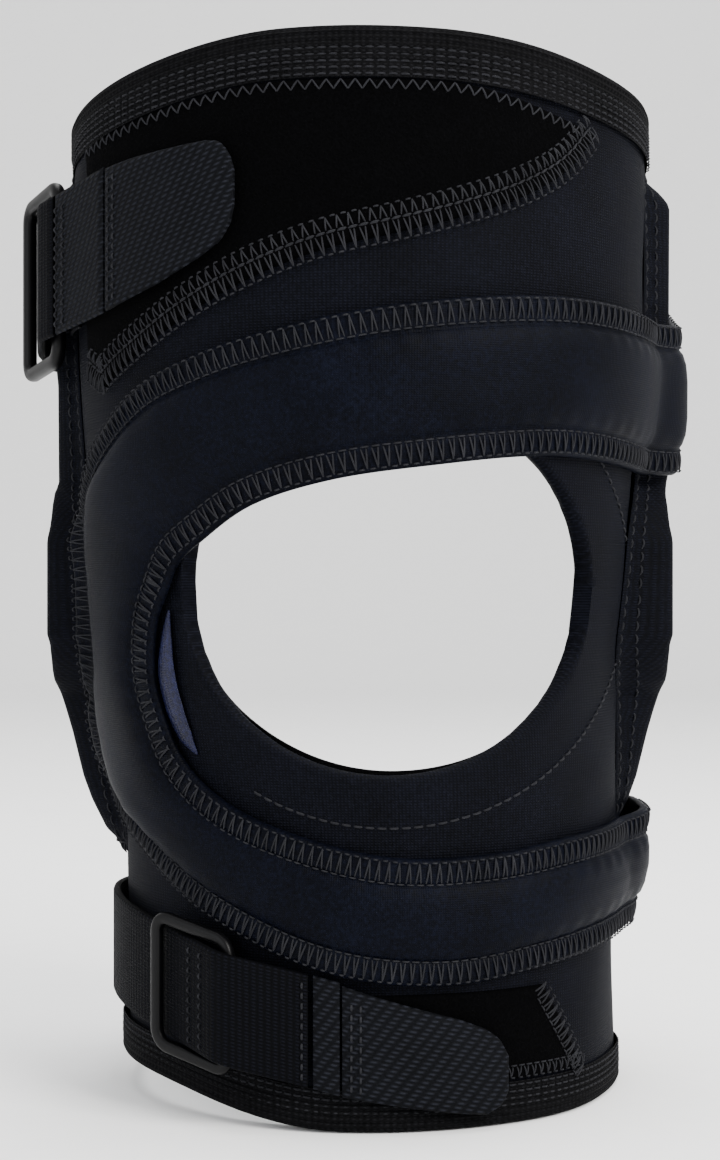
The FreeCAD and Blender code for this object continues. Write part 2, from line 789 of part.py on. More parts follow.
MIDDLE = (0.0, 0.0)
SLEEVE_OUT = size.wall.value
THIGH_OUT = size.thigh_radius.value + SLEEVE_OUT
CALF_OUT = size.calf_radius.value + SLEEVE_OUT
STRAP = size.strap.value
BAND = size.pad_band.value
HOOK_GAP = 0.4
HOOK_RISE = LYING + size.loop.value + HOOK_GAP
TAB_MIDDLE = HOOK_RISE + size.hook.value + size.tab.value / 2

# The heights of the strap planes: middle on the axis, rise towards +X, rise towards +Y.
THIGH_STRAP_PLANE = (208.5, 0.10, -0.08)
CALF_STRAP_PLANE = (20.5, -0.25, 0.0)

THIGH_PIVOT = (-74.8, -17.0)
THIGH_BAR = (-85.1, 3.0)
CALF_PIVOT = polar(CALF_OUT + 3.85, 242.0)
CALF_BAR = polar(CALF_OUT + 4.8, 223.0)
THIGH_SEAM = 217.0
CALF_SEAM = 264.5
BORE_PLAY = 0.15


def plane_height(plane, point):
    return plane[0] + plane[1] * point[0] + plane[2] * point[1]


def bar(name, radius, start, end):
    cylinder = doc.addObject("Part::Cylinder", name)
    set_size(cylinder, "Radius", radius)
    along = end - start
    cylinder.Height = along.Length
    cylinder.Placement = FreeCAD.Placement(start, FreeCAD.Rotation(FreeCAD.Vector(0, 0, 1), along))
    return cylinder


def make_ring(name, pivot, far_bar, plane, window, radius):
    """A ring of round bar with round corners: an upright pivot bar, an upright far bar and two between."""
    reach = number(window) / 2 + number(radius)
    corners = []
    for point, directions in ((pivot, (-1, 1)), (far_bar, (1, -1))):
        height = plane_height(plane, point)
        corners += [FreeCAD.Vector(point[0], point[1], height + sign * reach) for sign in directions]
    pieces = []
    for index, corner in enumerate(corners):
        pieces.append(bar("%s_bar_%d" % (name, index), radius, corner, corners[(index + 1) % len(corners)]))
        ball = doc.addObject("Part::Sphere", "%s_corner_%d" % (name, index))
        set_size(ball, "Radius", radius)
        ball.Placement.Base = corner
        pieces.append(ball)
    keep(name, fuse(name, pieces))


def make_keeper(name, pivot, plane, bar_radius, height, foot):
    """A webbing loop round a ring's pivot bar, on a foot sewn to the sleeve."""
    body = make_body(name)
    low = plane_height(plane, pivot) - height / 2
    place = (0.0, 0.0, low)
    bore = bar_radius + BORE_PLAY
    loop_sketch = add_sketch(body, "XY_Plane", place)
    circle(loop_sketch, pivot, bore + size.keeper)
    pad(body, loop_sketch, height)
    foot_in, foot_out, first, last = foot
    foot_sketch = add_sketch(body, "XY_Plane", place)
    sides = [arc_edge(MIDDLE, radius, first, last) for radius in (foot_in, foot_out)]
    add_edges(foot_sketch, sides)
    foot_sketch.addGeometry(Part.LineSegment(sides[0].StartPoint, sides[1].StartPoint))
    foot_sketch.addGeometry(Part.LineSegment(sides[0].EndPoint, sides[1].EndPoint))
    pad(body, foot_sketch, height)
    hole = add_sketch(body, "XY_Plane", place)
    circle(hole, pivot, bore)
    pocket(body, hole, height)
    keep(name, body)


def over_keeper(bar_radius):
    """Radius of a strap's middle where it turns over a keeper."""
    return number(bar_radius) + BORE_PLAY + size.keeper.value + 0.3 + STRAP / 2


def make_thigh_strap():
    strap_radius = THIGH_OUT + 1.4 + STRAP / 2
    corner = size.pocket_face.value - 1.0
    edge = size.pocket_half.value - 1.0
    supports = [
        (MIDDLE, strap_radius),
        ((-corner, size.pivot_y.value + edge), 2.7),
        ((-corner, size.pivot_y.value - edge), 2.7),
        (THIGH_PIVOT, over_keeper(size.thigh_ring_bar)),
        (MIDDLE, THIGH_OUT + TAB_MIDDLE),
    ]
    band = ribbon("thigh_strap_band", belt(supports, 84.0, THIGH_SEAM), size.strap, 170.0, 240.0)
    zone = slab("thigh_strap_zone", *THIGH_STRAP_PLANE, size.thigh_strap_width)
    keep("thigh_strap", boolean("Common", "thigh_strap", band, zone))
    foot = (THIGH_OUT + LYING, THIGH_OUT + 1.9, 185.5, 201.0)
    make_keeper("thigh_keeper", THIGH_PIVOT, THIGH_STRAP_PLANE, size.thigh_ring_bar, 30.0, foot)
    make_ring("thigh_ring", THIGH_PIVOT, THIGH_BAR, THIGH_STRAP_PLANE, size.thigh_window,
              size.thigh_ring_bar)


def make_calf_strap():
    supports = [
        (MIDDLE, CALF_OUT + 0.3 + STRAP / 2),
        (CALF_PIVOT, over_keeper(size.calf_ring_bar)),
        (MIDDLE, CALF_OUT + TAB_MIDDLE),
    ]
    band = ribbon("calf_strap_band", belt(supports, 100.0, CALF_SEAM), size.strap, 2.0, 60.0)
    zone = slab("calf_strap_zone", *CALF_STRAP_PLANE, size.calf_strap_width)
    keep("calf_strap", boolean("Common", "calf_strap", band, zone))
    foot = (CALF_OUT + LYING, CALF_OUT + 1.5, 235.0, 249.0)
    make_keeper("calf_keeper", CALF_PIVOT, CALF_STRAP_PLANE, size.calf_ring_bar, 20.0, foot)
    make_ring("calf_ring", CALF_PIVOT, CALF_BAR, CALF_STRAP_PLANE, size.calf_window, size.calf_ring_bar)


def height_span(outline):
    """Lowest and highest of an outline's corners, with a little to spare."""
    heights = [corner[1] for corner in outline]
    return min(heights) - 1.0, max(heights) + 1.0


def make_tab(tab_name, hook_name, base, first, last, outline, inset):
    """A hook tab that lies round the leg, with its hook patch underneath, cut to a front outline."""
    hook_radius = base + size.hook.value / 2
    tab_radius = base + size.hook.value + size.tab.value / 2
    low, high = height_span(outline)
    for name, radius, thickness, start, end, plate_points in (
            (tab_name, tab_radius, size.tab, first, last, outline),
            (hook_name, hook_radius, size.hook, first + inset, last - inset, outline)):
        arc = [(MIDDLE, radius, start, end)]
        band = ribbon(name + "_band", arc, thickness, low, high)
        plate = front_plate(name + "_plate", plate_points)
        keep(name, boolean("Common", name, band, plate))


def make_front_tabs():
    thigh_outline = [(-63.0, 188.6), (-59.0, 189.0), (-46.8, 193.5), (-33.5, 200.4), (-28.6, 206.0),
                     (-28.0, 220.0), (-31.4, 225.4), (-52.7, 223.6), (-63.0, 222.4)]
    make_tab("thigh_tab", "thigh_hook", THIGH_OUT + HOOK_RISE,
             THIGH_SEAM + 0.4, 252.0, thigh_outline, 2.0)
    calf_outline = [(-9.0, 9.6), (26.0, 3.4), (30.5, 7.0), (31.0, 17.5), (26.0, 23.4), (-9.0, 35.2)]
    make_tab("calf_tab", "calf_hook", CALF_OUT + HOOK_RISE,
             CALF_SEAM + 0.4, 300.0, calf_outline, 2.0)


def make_loop_panels():
    thigh = ribbon("thigh_loop_panel", [(MIDDLE, THIGH_OUT + LYING + size.loop.value / 2, 205.0, 300.0)],
                   size.loop, 193.0, 252.0)
    cut_above_rim(thigh, size.hem + 0.5)
    keep("thigh_loop_panel", thigh)
    calf = ribbon("calf_loop_panel", [(MIDDLE, CALF_OUT + LYING + size.loop.value / 2, 266.0, 320.0)],
                  size.loop, size.hem.value + 0.5, 31.5)
    keep("calf_loop_panel", calf)


# Edges of the C-shaped pad as seen from the front, (x, z), from the top right round to the bottom right.
PAD_OUTER = [(5.0, 186.3), (-25.0, 179.6), (-42.0, 174.4), (-54.6, 168.0), (-63.5, 157.5), (-69.2, 143.0),
             (-71.0, 124.0), (-69.0, 93.8), (-63.5, 77.2), (-54.6, 64.3), (-35.4, 48.4), (5.0, 34.8)]
PAD_INNER = [(5.0, 148.0), (-25.0, 140.3), (-41.6, 129.0), (-49.0, 106.0), (-42.8, 85.5), (-33.0, 75.9),
             (-16.0, 68.4), (5.0, 63.2)]


def pad_outline(name):
    """A prism with the front view of the C-shaped pad, left of the kneecap and ahead of the hinge."""
    body = make_body(name)
    sketch = add_sketch(body, "XZ_Plane", (0.0, 0.0, size.cover_radius - size.pivot_y + 2.0))
    curves = []
    for points in (PAD_OUTER, PAD_INNER):
        curve = Part.BSplineCurve()
        curve.interpolate([flat(point) for point in points])
        curves.append(curve)
    add_edges(sketch, curves)
    sketch.addGeometry(Part.LineSegment(flat(PAD_OUTER[0]), flat(PAD_INNER[0])))
    sketch.addGeometry(Part.LineSegment(flat(PAD_OUTER[-1]), flat(PAD_INNER[-1])))
    pad(body, sketch, REACH)
    return body


def make_band(name, low, high, around, corner_x, zone_corners, end):
    """Half of the C-shaped pad: its front, cut from a shell, and the band that goes round the side."""
    gap = 0.4
    shell = layer(name + "_shell", SLEEVE_OUT + gap, SLEEVE_OUT + gap + BAND, low, high)
    front = boolean("Common", name + "_front", shell, pad_outline(name + "_outline"))
    corner = corner_x - 1.0
    edge = size.pocket_half.value - 1.0
    over_corner = 1.5 + BAND / 2
    supports = [
        (MIDDLE, around),
        ((corner, size.pivot_y.value - edge), over_corner),
        ((corner, size.pivot_y.value + edge), over_corner),
        (MIDDLE, around),
    ]
    bottom, top = height_span(zone_corners)
    band = ribbon(name + "_band", belt(supports, -90.0, end), BAND, bottom, top)
    zone = side_plate(name + "_zone", zone_corners, -4.0, REACH)
    side = boolean("Common", name + "_side", band, zone)
    keep(name, fuse(name, [front, side]))


def make_back_tab(name, base, first, last, zone_corners):
    low, high = height_span(zone_corners)
    for part, radius, thickness, inset in (("tab", base + size.hook.value + size.tab.value / 2, size.tab, 0.0),
                                           ("hook", base + size.hook.value / 2, size.hook, 1.0)):
        piece = name + "_" + part
        band = ribbon(piece + "_band", [(MIDDLE, radius, first + inset, last - inset)], thickness, low, high)
        zone = side_plate(piece + "_zone", zone_corners, 0.0, REACH)
        keep(piece, boolean("Common", piece, band, zone))


def make_kneecap_pad():
    half_gap = size.split_gap.value / 2
    knee = size.knee.value
    climb = 0.48 * REACH
    upper_zone = [(-REACH, 151.0), (0.0, 151.0), (REACH, 151.0 + climb),
                  (REACH, 178.0 + climb), (0.0, 190.0), (-REACH, 189.0)]
    lower_zone = [(-REACH, 34.5), (REACH, 34.5), (REACH, 68.0), (-REACH, 66.0)]
    upper_end = 49.0
    lower_end = 53.0
    make_band("upper_pad_band", knee + half_gap, 196.0, THIGH_OUT + 1.1 + BAND / 2,
              size.pocket_face.value, upper_zone, upper_end)
    make_band("lower_pad_band", 28.0, knee - half_gap, CALF_OUT + 0.6 + BAND / 2, 71.0, lower_zone, lower_end)
    make_back_tab("upper_band", THIGH_OUT + HOOK_GAP, upper_end + 0.5, 66.0, upper_zone)
    make_back_tab("lower_band", CALF_OUT + HOOK_GAP, lower_end + 0.5, 70.0, lower_zone)


# ---------------------------------------------------------------- build, check and write

def check_model():
    doc.recompute()
    bad = [item.Name for item in doc.Objects if "Invalid" in item.State or "Error" in item.State]
    bad += [name for name, feature in nodes.items()
            if feature.Shape.isNull() or not feature.Shape.isValid()]
    if bad:
        raise RuntimeError("these objects failed: " + ", ".join(bad))


def write_parts():
    os.makedirs("parts", exist_ok=True)
    for name, feature in nodes.items():
        feature.Shape.exportStep("parts/%s.step" % name)
        print("%-26s %9.0f mm3 in %d solid(s)" % (name, feature.Shape.Volume, len(feature.Shape.Solids)))


make_sleeves()
make_hems()
make_window_pads()
make_piping()
make_hinges()
make_loop_panels()
make_thigh_strap()
make_calf_strap()
make_front_tabs()
make_kneecap_pad()
check_model()
write_parts()
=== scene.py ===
import math
import random

import bmesh
import bpy
import numpy as np
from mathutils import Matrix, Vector


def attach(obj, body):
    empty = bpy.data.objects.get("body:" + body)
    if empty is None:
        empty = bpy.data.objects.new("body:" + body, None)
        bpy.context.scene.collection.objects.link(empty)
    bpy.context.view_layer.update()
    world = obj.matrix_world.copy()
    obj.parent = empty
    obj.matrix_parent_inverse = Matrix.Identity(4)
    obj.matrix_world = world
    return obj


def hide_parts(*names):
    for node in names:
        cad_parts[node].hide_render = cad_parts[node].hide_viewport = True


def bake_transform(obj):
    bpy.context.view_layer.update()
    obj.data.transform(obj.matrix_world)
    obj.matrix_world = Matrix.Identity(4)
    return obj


# Looks for the hinged knee brace. Lengths are in millimetres until a mesh is made.
# Points on the leg are given unrolled: u runs round the leg, z up it.

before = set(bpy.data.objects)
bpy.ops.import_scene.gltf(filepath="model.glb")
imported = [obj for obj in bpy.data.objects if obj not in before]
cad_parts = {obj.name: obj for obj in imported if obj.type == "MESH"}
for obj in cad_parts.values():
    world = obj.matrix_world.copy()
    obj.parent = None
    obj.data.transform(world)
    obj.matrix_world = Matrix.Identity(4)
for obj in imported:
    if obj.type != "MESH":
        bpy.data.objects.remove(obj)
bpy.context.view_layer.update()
random.seed(7)

MM = 0.001
UNROLL = 68.0            # radius at which u is measured
ROUND = 2 * math.pi * UNROLL
SPLIT = 124.0            # height of the knee, where the upper and lower pieces meet
BLEND_TOP = 158.0        # top of the span given in UPPER for pieces that cross the knee
BLEND_BOTTOM = 88.0      # bottom of the span given in LOWER for pieces that cross the knee
WALL = 5.0               # thickness of the sleeve
RIM = 244.0              # height of the top rim on the axis
RIM_SLOPE = -0.0811      # rise of the top rim towards the back
NOTCH_Y = 11.0           # front end of the opening behind the knee
WINDOW = (7.0, 124.0)    # middle of the kneecap window, (x, z)
WINDOW_HALF = (48.2, 42.5)
PIVOT_Y = 10.0           # distance of the hinge pivots behind the middle
STRAP = 2.0              # thickness of a strap
THIGH_OUT = 72.0         # outside radius of the straight part of the thigh
CALF_OUT = 60.5          # outside radius of the straight part of the calf
AXIS = (0.0, 0.0)

# Strap planes: height on the axis, rise towards +X, rise towards +Y.
THIGH_PLANE = (208.5, 0.10, -0.08)
CALF_PLANE = (20.5, -0.25, 0.0)

# Seen from above, (x, y): the upright a ring turns on, and its far upright.
THIGH_PIVOT = (-74.8, -17.0)
THIGH_BAR = (-85.1, 3.0)


# ---------------------------------------------------------------- numbers

def smooth(t):
    """An eased step from 0 to 1."""
    t = np.clip(t, 0.0, 1.0)
    return t * t * (3 - 2 * t)


def to_u(degrees):
    """The unrolled place at an angle."""
    return math.radians(degrees) * UNROLL


def polar(radius, degrees):
    """The (x, y) at a distance from the axis and an angle."""
    angle = math.radians(degrees)
    return (radius * math.cos(angle), radius * math.sin(angle))


CALF_PIVOT = polar(CALF_OUT + 3.85, 242.0)
CALF_BAR = polar(CALF_OUT + 4.8, 223.0)


def catmull(points, step):
    """Points about step apart on a smooth curve through the given ones."""
    points = np.array(points, float)
    ends = np.vstack([2 * points[0] - points[1], points, 2 * points[-1] - points[-2]])
    made = []
    for before, here, there, after in zip(ends, ends[1:], ends[2:], ends[3:]):
        knots = np.cumsum([0.0] + [max(np.linalg.norm(q - p), 1e-6) ** 0.5
                                   for p, q in ((before, here), (here, there), (there, after))])
        count = max(2, int(np.linalg.norm(there - here) / step))
        for t in np.linspace(knots[1], knots[2], count, endpoint=False):
            a1 = before + (here - before) * (t - knots[0]) / (knots[1] - knots[0])
            a2 = here + (there - here) * (t - knots[1]) / (knots[2] - knots[1])
            a3 = there + (after - there) * (t - knots[2]) / (knots[3] - knots[2])
            b1 = a1 + (a2 - a1) * (t - knots[0]) / (knots[2] - knots[0])
            b2 = a2 + (a3 - a2) * (t - knots[1]) / (knots[3] - knots[1])
            made.append(b1 + (b2 - b1) * (t - knots[1]) / (knots[2] - knots[1]))
    made.append(points[-1])
    return np.array(made)


def resample(points, step):
    """The same line with points an even step apart."""
    points = np.array(points, float)
    along = distances(points)
    count = max(2, int(round(along[-1] / step)) + 1)
    places = np.linspace(0.0, along[-1], count)
    return np.column_stack([np.interp(places, along, points[:, k]) for k in range(points.shape[1])])


def distances(line):
    """How far along a line each of its points is."""
    steps = np.linalg.norm(np.diff(np.asarray(line, float), axis=0), axis=1)
    return np.concatenate([[0.0], np.cumsum(steps)])


def directions(line):
    """Unit vectors along a line, one for each of its points."""
    run = np.gradient(line, axis=0)
    return run / np.linalg.norm(run, axis=1)[:, None]


def side_of(line):
    """Unit normals to the left of a line in the unrolled plane."""
    run = directions(line)
    return np.column_stack([-run[:, 1], run[:, 0]])


def edge_round(distance, reach):
    """Share of the full thickness at that distance from an edge with a rounded profile."""
    inside = np.clip(distance / reach, 0.0, 1.0)
    return np.maximum(0.12, np.sqrt(np.clip(1 - (1 - inside) ** 2, 0, 1)))


# ---------------------------------------------------------------- the shape of the leg

def lean(z, angle=-math.pi / 2):
    """The front of the calf sits a little towards the medial side; its back doesn't."""
    angle = np.asarray(angle, float)
    ahead = smooth(1.0 - np.maximum(np.sin(angle), 0.0) / 0.75)
    reach = 1.6 + 2.4 * smooth(np.cos(angle) * 1.4)
    return reach * smooth((110.0 - np.asarray(z, float)) / 50.0) * ahead


CONE_HEIGHTS = (0.0, 64.0, 124.0, 190.0)
CONE_RADII = (55.5, 55.5, 62.5, 67.0)


def base(z):
    """Outside radius of the sleeve, with the corners of its cones eased."""
    z = np.asarray(z, float)
    total = 0.0
    offsets = (-9.0, -6.0, -3.0, 0.0, 3.0, 6.0, 9.0)
    for offset in offsets:
        total = total + np.interp(z + offset, CONE_HEIGHTS, CONE_RADII)
    return total / len(offsets) + WALL


# Half width of the brace over the hinges and their arms, as (height, distance from the middle).
FACE_LOW = ((60.0, 62.8), (66.0, 66.0), (70.0, 68.0), (76.0, 70.2), (87.0, 72.9), (92.0, 74.3), (98.0, 76.1),
            (101.0, 77.1), (110.0, 77.3), (112.5, 77.95), (136.0, 77.95), (140.0, 77.3), (148.0, 77.1))
FACE_LATERAL = FACE_LOW + ((151.0, 76.4), (176.0, 76.6), (190.0, 78.2), (232.0, 78.2))
FACE_MEDIAL = FACE_LOW + ((153.0, 78.2), (232.0, 78.7))

# Half the front-to-back width of what lies in the pockets, as (height, half width).
HALF = ((88.0, 9.5), (97.0, 10.5), (101.0, 14.5), (106.0, 18.2), (112.0, 20.4), (136.0, 20.4),
        (142.0, 18.2), (147.0, 14.5), (151.0, 10.5), (232.0, 9.8))


def table(pairs, z):
    """The second number at a height, from pairs of (height, number)."""
    return np.interp(z, [p[0] for p in pairs], [p[1] for p in pairs])


BESIDE = 0.55            # cosine beyond which the leg counts as its side


def pocket_lift(u, z, fall):
    """How far the hinge and its arms push the fabric out of the sleeve's round shape."""
    angle = np.asarray(u, float) / UNROLL
    z = np.asarray(z, float)
    round_radius = base(z)
    across = np.cos(angle)
    medial = table(FACE_MEDIAL, z) - lean(z, angle)
    lateral = table(FACE_LATERAL, z) + lean(z, angle)
    raised = np.where(across > 0, medial, lateral) / np.maximum(np.abs(across), BESIDE)
    off = np.abs(raised * np.sin(angle) - PIVOT_Y)
    side = 1 - smooth((off - table(HALF, z)) / fall)
    side = side * smooth((np.abs(across) - BESIDE) / 0.25)
    ends = smooth((230.0 - z) / 9.0) * smooth((z - 54.0) / 9.0)
    return np.maximum(raised - round_radius, 0.0) * side * ends


def ripple(u, z):
    """Small slack waves in the fabric."""
    u = np.asarray(u, float)
    z = np.asarray(z, float)
    return (0.40 * np.sin(u / 17.0 + z / 31.0 + 0.6) * np.sin(z / 13.0 - u / 41.0)
            + 0.16 * np.sin(u / 7.3 - z / 9.1 + 1.5 * np.sin(z / 23.0)))


def sleeve_top(u, z):
    """The outside of the sleeve."""
    return base(z) + ripple(u, z)


POCKET = 0.75            # thickness of the pocket fabric
POCKET_FALL = 8.0        # how far the pocket fabric takes to come down beside an arm
PAD_FALL = 18.0          # the same for the pad, which is stiffer


def pocket_under(u, z):
    """The surface that the pocket fabric lies on: slack waves, except where the hinge pulls it tight."""
    lift = pocket_lift(u, z, POCKET_FALL)
    return base(z) + ripple(u, z) * (1 - smooth(lift / 3.0)) + lift


def pocket_top(u, z):
    """The outside of the pocket fabric."""
    return pocket_under(u, z) + POCKET


# Half width of the brace over the lower band of the pad, as (height, distance from the middle).
LOW_BAND = ((26.0, 62.5), (34.0, 64.8), (41.0, 65.6), (50.0, 67.2), (60.0, 68.6), (72.0, 70.6), (90.0, 70.6))


def band_lift(u, z):
    """How far the lower band of the pad bridges the medial side of the calf."""
    angle = np.asarray(u, float) / UNROLL
    z = np.asarray(z, float)
    across = np.cos(angle)
    raised = (table(LOW_BAND, z) - lean(z, angle)) / np.maximum(across, 0.6)
    side = 1 - smooth((np.abs(raised * np.sin(angle) - 5.0) - 9.0) / 19.0)
    side = side * smooth((across - 0.6) / 0.2) * smooth((94.0 - z) / 18.0)
    return np.maximum(raised - base(z), 0.0) * side


def pad_under(u, z):
    """The surface that the kneecap pad lies on."""
    lift = np.maximum(pocket_lift(u, z, PAD_FALL), pocket_lift(u, z, POCKET_FALL))
    lift = np.maximum(lift, band_lift(u, z))
    return base(z) + ripple(u, z) * (1 - smooth(lift / 3.0)) + lift + POCKET + 0.1


def place(u, z, radius):
    """Points in space from unrolled ones and their distance from the axis."""
    angle = np.asarray(u, float) / UNROLL
    z = np.asarray(z, float)
    across = radius * np.cos(angle) + lean(z, angle)
    height = z + 0.0 * angle     # in the shape of the angles
    return np.stack([across, radius * np.sin(angle), height], axis=-1)


def between(first, second, shares):
    """Grids of u and z at shares of the way from one unrolled line to another."""
    return [first[:, k, None] + (second[:, k] - first[:, k])[:, None] * shares for k in (0, 1)]


def u_of_x(x, z, radius_at):
    """The unrolled place in front of the leg where a surface is that far across."""
    candidates = np.radians(np.linspace(180.0, 360.0, 721)) * UNROLL
    across = place(candidates, np.full_like(candidates, z), radius_at(candidates, z))[:, 0]
    best = int(np.argmin(np.abs(across - x)))
    return float(candidates[best])


def low_rim(u):
    """Height of the bottom rim, which rides up on the lateral side."""
    rise = 8.0
    return rise * smooth(-np.cos(np.asarray(u, float) / UNROLL) * 1.1 - 0.1)


def rim(u):
    """Height of the top rim, which is lower at the sides."""
    angle = np.asarray(u, float) / UNROLL
    across = np.cos(angle)
    lateral_dip = 4.5
    medial_dip = 2.5
    dip = np.where(across < 0, lateral_dip, medial_dip) * smooth((np.abs(across) - 0.25) / 0.75)
    return RIM + RIM_SLOPE * THIGH_OUT * np.sin(angle) - dip


# ---------------------------------------------------------------- meshes

SHARP = math.radians(62.0)     # faces that meet at more than this keep a crisp edge


def make_object(name, points, faces, uvs=None, material=None):
    """An object from points in millimetres. uvs holds one (u, v) for each corner of each face."""
    mesh = bpy.data.meshes.new(name)
    mesh.from_pydata([tuple(p) for p in np.asarray(points, float) * MM], [], faces)
    if uvs is not None:
        layer = mesh.uv_layers.new(name="UVMap")
        layer.data.foreach_set("uv", np.asarray(uvs, np.float32).ravel())
    work = bmesh.new()
    work.from_mesh(mesh)
    bmesh.ops.recalc_face_normals(work, faces=work.faces)
    work.to_mesh(mesh)
    work.free()
    mesh.polygons.foreach_set("use_smooth", [True] * len(mesh.polygons))
    mesh.set_sharp_from_angle(angle=SHARP)
    made = bpy.data.objects.new(name, mesh)
    bpy.context.scene.collection.objects.link(made)
    if material:
        mesh.materials.append(material)
    return made


def shell(name, outer, inner, material, flat, wrap=False):
    """A closed sheet between two grids of points. flat holds the weave's (u, v) for each, in millimetres."""
    columns, rows = outer.shape[:2]
    points = np.concatenate([outer.reshape(-1, 3), inner.reshape(-1, 3)])
    below = columns * rows
    last = columns if wrap else columns - 1
    faces = []
    corners = []

    def index(i, j):
        return (i % columns) * rows + j

    def flat_at(i, j):
        if i < columns:
            return flat[i, j]
        return flat[columns - 1, j] + (flat[columns - 1, j] - flat[columns - 2, j])

    for i in range(last):
        for j in range(rows - 1):
            square = ((i, j), (i + 1, j), (i + 1, j + 1), (i, j + 1))
            faces.append([index(*c) for c in square])
            corners += [flat_at(*c) for c in square]
            faces.append([below + index(*c) for c in reversed(square)])
            corners += [flat_at(*c) for c in reversed(square)]
        for j in (0, rows - 1):
            faces.append([index(i, j), index(i + 1, j), below + index(i + 1, j), below + index(i, j)])
            corners += [flat_at(i, j), flat_at(i + 1, j), flat_at(i + 1, j), flat_at(i, j)]
    if not wrap:
        for i in (0, columns - 1):
            for j in range(rows - 1):
                faces.append([index(i, j), index(i, j + 1), below + index(i, j + 1), below + index(i, j)])
                corners += [flat_at(i, j), flat_at(i, j + 1), flat_at(i, j + 1), flat_at(i, j)]
    return make_object(name, points, faces, corners, material)


def cloth(name, u, z, top, bottom, material, wrap=False):
    """A sheet over an unrolled grid, between two distances from the axis."""
    flat = np.stack([u, z], axis=-1)
    return shell(name, place(u, z, top), place(u, z, bottom), material, flat, wrap)


def tube(name, path, section, material):
    """A section of (out, up) points carried round a closed path of (point, out, up) frames."""
    rows = len(section)
    points = []
    for point, out, up in path:
        for a, b in section:
            points.append(np.asarray(point) + a * np.asarray(out) + b * np.asarray(up))
    count = len(path)
    faces = []
    corners = []
    along = distances([place_at for place_at, out, up in path])
    around = distances(section)
    step = along[-1] / max(1, count - 1)
    turn = around[-1] + math.dist(section[0], section[-1])
    for i in range(count):
        for j in range(rows):
            k = (j + 1) % rows
            n = (i + 1) % count
            faces.append([i * rows + j, n * rows + j, n * rows + k, i * rows + k])
            high = turn if k == 0 else around[k]
            here, there = i * step, (i + 1) * step
            corners += [(here, around[j]), (there, around[j]), (there, high), (here, high)]
    return make_object(name, points, faces, corners, material)


THREAD_RISE = (-0.5, 0.55, 0.9, 0.55, -0.5)      # height of a stitch along its length, in thread radii


def threads(name, stitches, radius, material, sides=5):
    """Short arched lengths of thread. Each stitch is (start, end, normal), in millimetres."""
    points = []
    faces = []
    turns = [(math.cos(2 * math.pi * k / sides), math.sin(2 * math.pi * k / sides)) for k in range(sides)]
    steps = len(THREAD_RISE)
    for start, end, normal in stitches:
        start, end, normal = (np.asarray(v, float) for v in (start, end, normal))
        run = (end - start) / max(np.linalg.norm(end - start), 1e-6)
        across = np.cross(run, normal)
        first = len(points)
        for k, rise in enumerate(THREAD_RISE):
            t = k / (steps - 1)
            middle = start + (end - start) * t + normal * rise * radius
            width = radius * (0.75 if k in (0, steps - 1) else 1.0)
            points += [middle + across * c * width + normal * s * width for c, s in turns]
        for k in range(steps - 1):
            low = first + k * sides
            for s in range(sides):
                n = (s + 1) % sides
                faces.append([low + s, low + n, low + sides + n, low + sides + s])
        faces.append([first + s for s in range(sides)])
        faces.append([first + (steps - 1) * sides + s for s in range(sides)])
    return make_object(name, points, faces, None, material)


def on_surface(line, height):
    """Points and outward directions of an unrolled line on a surface."""
    line = np.asarray(line, float)
    at = place(line[:, 0], line[:, 1], height(line[:, 0], line[:, 1]))
    angle = line[:, 0] / UNROLL
    out = np.column_stack([np.cos(angle), np.sin(angle), np.zeros(len(angle))])
    return at, out


def dashes(line, height, length, gap):
    """Running stitches along an unrolled line."""
    line = resample(line, (length + gap) / 4)
    at, out = on_surface(line, height)
    used = max(1, int(round(4 * length / (length + gap))))
    return [(at[i], at[i + used], out[i]) for i in range(0, len(at) - used, 4)]


def ladder(line, height, near, far, pitch=2.3, spread=0.26):
    """A flatlock seam beside an unrolled edge: forked rungs from near to far, a needle line along each."""
    line = resample(line, pitch)
    normal = side_of(line)
    first = line + normal * near
    second = line + normal * far
    run = np.gradient(line, axis=0)
    made = []
    a, out = on_surface(first, height)
    for lean_by in (-spread, spread):
        wobble = np.array([random.uniform(-0.07, 0.07) for _ in line])[:, None]
        b, _ = on_surface(second + run * (lean_by + wobble), height)
        made += [(p, q, n) for p, q, n in zip(a, b, out)]
    made += dashes(first - normal * 0.15 * np.sign(far - near), height, 0.5 * pitch, 0.5 * pitch)
    made += dashes(second + normal * 0.35 * np.sign(far - near), height, 0.8 * pitch, 0.2 * pitch)
    return made


# ---------------------------------------------------------------- materials

def node(tree, kind, **values):
    """A new shader node, with the values of its sockets or settings."""
    made = tree.nodes.new(kind)
    for key, value in values.items():
        if key in made.inputs:
            made.inputs[key].default_value = value
        else:
            setattr(made, key, value)
    return made


def ramp(tree, source, stops):
    """Colours along a ramp, from (place, colour) pairs."""
    made = node(tree, "ShaderNodeValToRGB")
    while len(made.color_ramp.elements) < len(stops):
        made.color_ramp.elements.new(0.5)
    for element, (place_at, colour) in zip(made.color_ramp.elements, stops):
        element.position = place_at
        element.color = (*colour, 1.0)
    tree.links.new(source, made.inputs["Fac"])
    return made.outputs["Color"]


def maths(tree, operation, first, second=None, third=None):
    """A math node on sockets or plain numbers."""
    made = node(tree, "ShaderNodeMath", operation=operation)
    for socket, value in zip(made.inputs, (first, second, third)):
        if value is None:
            continue
        if isinstance(value, (int, float)):
            socket.default_value = value
        else:
            tree.links.new(value, socket)
    return made.outputs[0]


